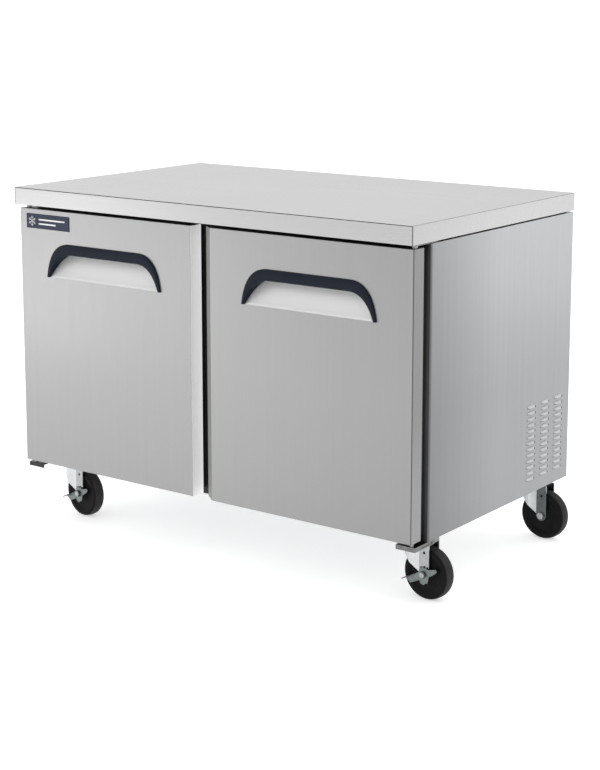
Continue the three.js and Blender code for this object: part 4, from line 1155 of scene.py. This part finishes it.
def add_fork(name, turn):
    """Fork bent from one sheet, cut to its side view and pierced above the axle, with a pressed crown."""
    bm = bmesh.new()
    strip = fork_plan(LEG_T) + fork_plan(0)[::-1]
    prism(bm, strip, "z", AXLE_Z - LEG_HALF - 1 * MM, CROWN + CROWN_RISE)
    fork = make_object(f"fork_{name}", bm, ZINC)
    keep = bmesh.new()
    prism(keep, fork_side(), "y", -FORK_CUT, FORK_CUT)
    carve(fork, keep, ZINC, "INTERSECT")
    holes = bmesh.new()
    hole_z = AXLE_Z + LEG_HOLE
    rod(holes, (TRAIL, -FORK_CUT, hole_z), (TRAIL, FORK_CUT, hole_z), LEG_HOLE_R, 20)
    carve(fork, holes, ZINC)
    crown = bmesh.new()
    crown.from_mesh(fork.data)
    lathe(crown, in_metres(CROWN_PROFILE), (0, 0, CROWN), (0, 0, 1), 40)
    crown.to_mesh(fork.data)
    crown.free()
    # Painted shade: the legs' flat outer faces are darker than the fork's wings, darker still on the rear
    # casters.
    leg = ZINC_PAINTED_LIGHT_AND_SHADE if name.startswith("front") else ZINC_SHADE
    paint(fork, leg, lambda face: face.normal.y < -0.99 and face.center.x > 0)
    fit_metal(fork, turn, 0.5 * MM, f"swivel_{name}", f"caster_fork_{name}")


def add_axle(name, turn):
    """Axle bolt with a domed hexagon head in front and a domed nut behind."""
    braked = name.startswith("front")
    leg = LEG_INNER + LEG_T + BOLT_GAP
    out = leg + (BRAKE_ROOM if braked else 0)
    bm = bmesh.new()
    rod(bm, (TRAIL, -out - 2 * MM, AXLE_Z), (TRAIL, LEG_INNER + 10 * MM, AXLE_Z), AXLE_R, 20)
    for y, sign in ((-out, -1), (leg, 1)):
        prism(bm, circle((TRAIL, AXLE_Z), BOLT_R, 6), "y", *sorted((y, y + sign * BOLT_HIGH)))
        lathe(bm, in_metres(BOLT_DOME), (TRAIL, y, AXLE_Z), (0, sign, 0), 24)
    # Painted shade: the braked front bolts are darker than the rear ones.
    axle = make_object(f"axle_{name}", bm, ZINC_DARKENED if braked else ZINC)
    # Painted highlight on the front bolts' domes, which are lighter than the bolt; on the rear bolts the
    # same paint is darker than the head.
    paint(axle, ZINC_PAINTED_LIGHT_AND_SHADE, lambda face: face.center.y < -out - BOLT_HIGH - 0.1 * MM)
    fit_metal(axle, turn, 0.5 * MM, f"swivel_{name}", f"caster_axle_{name}")


def add_plate(name, corner):
    """Top plate with bolt heads, raceway, kingpin and its nut, drawn about the kingpin."""
    half_x, half_y = PLATE_HALF
    bolt_x, bolt_y = PLATE_BOLTS
    under = PLATE_TOP - PLATE_T
    bm = bmesh.new()
    box(bm, (-half_x, -half_y, under), (half_x, half_y, PLATE_TOP))
    for x in (-bolt_x, bolt_x):
        for y in (-bolt_y, bolt_y):
            prism(bm, circle((x, y), PLATE_BOLT_R, 6), "z", under - PLATE_BOLT_HIGH, under)
    lathe(bm, in_metres(RACE_PROFILE), (0, 0, PLATE_TOP), (0, 0, 1), 40)
    low, high = KINGPIN_Z
    rod(bm, (0, 0, PLATE_TOP - low), (0, 0, PLATE_TOP - high), KINGPIN_R, 16)
    low, high = KINGPIN_NUT_Z
    prism(bm, circle((0, 0), KINGPIN_NUT_R, 6), "z", CROWN - low, CROWN - high)
    plate = make_object(f"plate_{name}", bm, ZINC)
    fit_metal(plate, corner, 0.6 * MM, "cabinet", f"caster_plate_{name}")


BRAKE_OUTLINE = [  # (x, z) in mm about the axle
    (-53, -16), (-36, -27), (-24, -22), (-11, -15), (-7, -22), (2, -25), (6, -20), (12, -20),
    (15, -11), (16, -3), (26, 3), (38, 12), (39, 17), (35, 20), (22, 16), (12, 15),
    (9, 19), (4, 16), (0, 20), (-5, 16), (-9, 18), (-12, 5), (-22, -2), (-40, -10),
]
PEDAL_FLANGE = [(-53, -16), (-36, -8.2), (-36, -10.6), (-52, -18.4)]
BRAKE_T = 2.5 * MM
BRAKE_GAP = 1.5 * MM  # from the fork's leg to the lever
PEDAL_OUT = 16 * MM


def add_brake(name, turn):
    """Stamped brake lever with a flange along its pedal."""
    face = -LEG_INNER - LEG_T - BRAKE_GAP
    bm = bmesh.new()
    for outline, out in ((BRAKE_OUTLINE, BRAKE_T), (PEDAL_FLANGE, PEDAL_OUT)):
        points = [(TRAIL + x, AXLE_Z + z) for x, z in in_metres(outline)]
        prism(bm, points, "y", face - out, face)
    brake = make_object(f"brake_{name}", bm, ZINC_DARKENED)
    fit_metal(brake, turn, 0.6 * MM, f"brake_{name}", f"caster_brake_{name}")


def add_caster(name):
    """A caster at its swivel joint, turned so that its axle follows the wheel joint's axis."""
    x, y, _ = JOINTS[f"swivel_{name}"]["pos_m"]
    axis_x, axis_y, _ = JOINTS[f"wheel_{name}"]["axis"]
    corner = Matrix.Translation((x, y, 0))
    turn = corner @ Matrix.Rotation(math.atan2(-axis_x, axis_y), 4, "Z")
    add_plate(name, corner)
    add_fork(name, turn)
    add_axle(name, turn)
    add_wheel(name, turn @ Vector((TRAIL, 0, AXLE_Z)), turn.to_3x3() @ Vector((0, 1, 0)))
    if name.startswith("front"):
        add_brake(name, turn)


# ---- hinges, shelves and inside
HINGE_SHEET = 3 * MM
HINGE_LIP = 11 * MM
HINGE_SLOT_Y = (26 * MM, 8 * MM)  # the embossed slot ends this far from the lip's front and back
HINGE_SLOT_Z = (3 * MM, 3.5 * MM)  # and this far from its lower and upper edge
HINGE_SLOT_DEEP = 1.4 * MM
PIN_R = 5 * MM
BUSH_BORE = 5.1 * MM
BUSH_R = 6.2 * MM
BUSH_HIGH = 5 * MM


def add_pin(name, side, low, high):
    """Pin on the axis of one side's door, between two heights."""
    x, y, _ = JOINTS[f"door_{side}"]["pos_m"]
    bm = bmesh.new()
    rod(bm, (x, y, low), (x, y, high), PIN_R, 24)
    add_piece(f"{name}_{side}", bm, ZINC, "cabinet", "zinc_steel")


def add_bottom_hinge(name, side):
    """Plate under the door with turned-down lips, an embossed slot in the side lip and a pin."""
    low, high = corners_of(f"bottom_hinge_{name}")
    plate_top = low.z + HINGE_LIP
    outer = max(high.x - MIDDLE, MIDDLE - low.x)
    bm = bmesh.new()
    box(bm, (low.x, low.y, plate_top - HINGE_SHEET), (high.x, high.y, plate_top))
    box(bm, (low.x, low.y, low.z), (high.x, low.y + HINGE_SHEET, plate_top))
    a, b = on_side(side, outer - HINGE_SHEET, outer)
    box(bm, (a, low.y, low.z), (b, high.y, plate_top))
    # Painted shade: the bottom hinges are the same part, painted darker on the left side.
    hinge = make_object(f"bottom_hinge_{name}_plate", bm, ZINC_PAINTED_SHADE if side > 0 else ZINC_PAINTED_DEEP_SHADE)
    slot = bmesh.new()
    front, back = HINGE_SLOT_Y
    under, over = HINGE_SLOT_Z
    a, b = on_side(side, outer - HINGE_SLOT_DEEP, outer + PAST)
    box(slot, (a, low.y + front, low.z + under), (b, high.y - back, plate_top - over))
    # Painted shade: the embossed slot's faces are dark.
    carve(hinge, slot, ZINC_PAINTED_SHADE)
    sharpen(hinge)
    even_normals(soften(hinge, 0.6 * MM))
    show(hinge, "cabinet", "zinc_steel", f"bottom_hinge_{name}")
    add_pin("bottom_pin", name, plate_top - HINGE_SHEET, high.z)


def add_top_hinge(name):
    """Plate above the door, with the pin and a pale bush round it."""
    low, high = corners_of(f"top_hinge_{name}")
    bm = bmesh.new()
    box(bm, (low.x, low.y, high.z - HINGE_SHEET), high)
    # Painted shade: the top hinge plate, in the slit under the worktop, is dark.
    hinge = make_object(f"top_hinge_{name}_plate", bm, ZINC_PAINTED_SHADE)
    even_normals(soften(hinge, 0.6 * MM))
    show(hinge, "cabinet", "zinc_steel", f"top_hinge_{name}")
    add_pin("top_pin", name, low.z, high.z - HINGE_SHEET)
    bush = bmesh.new()
    ring = [(BUSH_BORE, 0), (BUSH_R, 0), (BUSH_R, BUSH_HIGH), (BUSH_BORE, BUSH_HIGH)]
    x, y, _ = JOINTS[f"door_{name}"]["pos_m"]
    lathe(bush, ring, (x, y, high.z - HINGE_SHEET - BUSH_HIGH), (0, 0, 1), 24)
    add_piece(f"top_bush_{name}", bush, LINER, "cabinet", "liner_plastic")


def add_hinges():
    for name, side in (("left", -1), ("right", 1)):
        add_bottom_hinge(name, side)
        add_top_hinge(name)


SHELF_WIRE_PITCH = 25 * MM
SHELF_RIM_R = 2.6 * MM
SHELF_BAR_R = 2 * MM
SHELF_WIRE_R = 1.5 * MM
SHELF_WIRE_Z = 4.5 * MM  # above the shelf's underside


def add_shelf(name):
    """Coated wire shelf: a rim, two bars across and thin wires from front to back."""
    low, high = corners_of(name)
    bm = bmesh.new()
    x0, x1 = low.x + SHELF_RIM_R, high.x - SHELF_RIM_R
    y0, y1 = low.y + SHELF_RIM_R, high.y - SHELF_RIM_R
    z = low.z + SHELF_RIM_R
    for y in (y0, y1):
        rod(bm, (x0, y, z), (x1, y, z), SHELF_RIM_R, 12)
    for x in (x0, x1):
        rod(bm, (x, y0, z), (x, y1, z), SHELF_RIM_R, 12)
    z = low.z + SHELF_BAR_R
    for share in (0.33, 0.67):
        y = y0 + (y1 - y0) * share
        rod(bm, (x0, y, z), (x1, y, z), SHELF_BAR_R, 10)
    count = round((x1 - x0) / SHELF_WIRE_PITCH)
    z = low.z + SHELF_WIRE_Z
    for i in range(1, count):
        x = x0 + (x1 - x0) * i / count
        rod(bm, (x, y0 - SHELF_RIM_R / 2, z), (x, y1 + SHELF_RIM_R / 2, z), SHELF_WIRE_R, 8)
    add_piece(f"{name}_wires", bm, WIRE, "cabinet", "shelf_wire", name, crease=60)


def dress_inside():
    """Inner pieces whose CAD shape is kept, or only gets smoother shading or rounder edges."""
    looks = {
        # Painted shade: the worktop core is black, as the shade in the slit under the worktop.
        "worktop_core": SHADE_BLACK,
        "foam_core": FOAM,
        "machine_bulkhead": ZINC,
        "evaporator_coil": ALUMINIUM,
        "condenser_coil": ALUMINIUM,
        "evaporator_fan_motor": BLACK,
        "power_inlet": BLACK,
    }
    for node, material in looks.items():
        data = frame["nodes"][node].data
        data.materials.clear()
        data.materials.append(material)
    dressed("inner_liner", "cabinet", "liner_plastic", LINER)
    dressed("evaporator_cover", "cabinet", "liner_plastic", LINER)
    dressed("compressor", "cabinet", "compressor_paint", COMPRESSOR)
    dressed("condenser_fan_housing", "cabinet", "black_plastic", BLACK)
    dressed("drain_pan", "cabinet", "black_plastic", BLACK)
    dressed("evaporator_fan_blade", "evaporator_fan", "black_plastic", BLACK)
    dressed("condenser_fan_blade", "condenser_fan", "coil_fin", ALUMINIUM)
    dressed("thermostat_knob", "thermostat", "black_plastic", BLACK, 0.8 * MM)


# ---- assembly
add_camera()
add_studio()
add_worktop()
add_case()
add_door("left", None)
add_door("right", DOOR_BEVEL)
add_name_plate()
add_hinges()
for shelf in ("shelf_left", "shelf_right"):
    add_shelf(shelf)
dress_inside()
for caster in CASTERS:
    add_caster(caster)
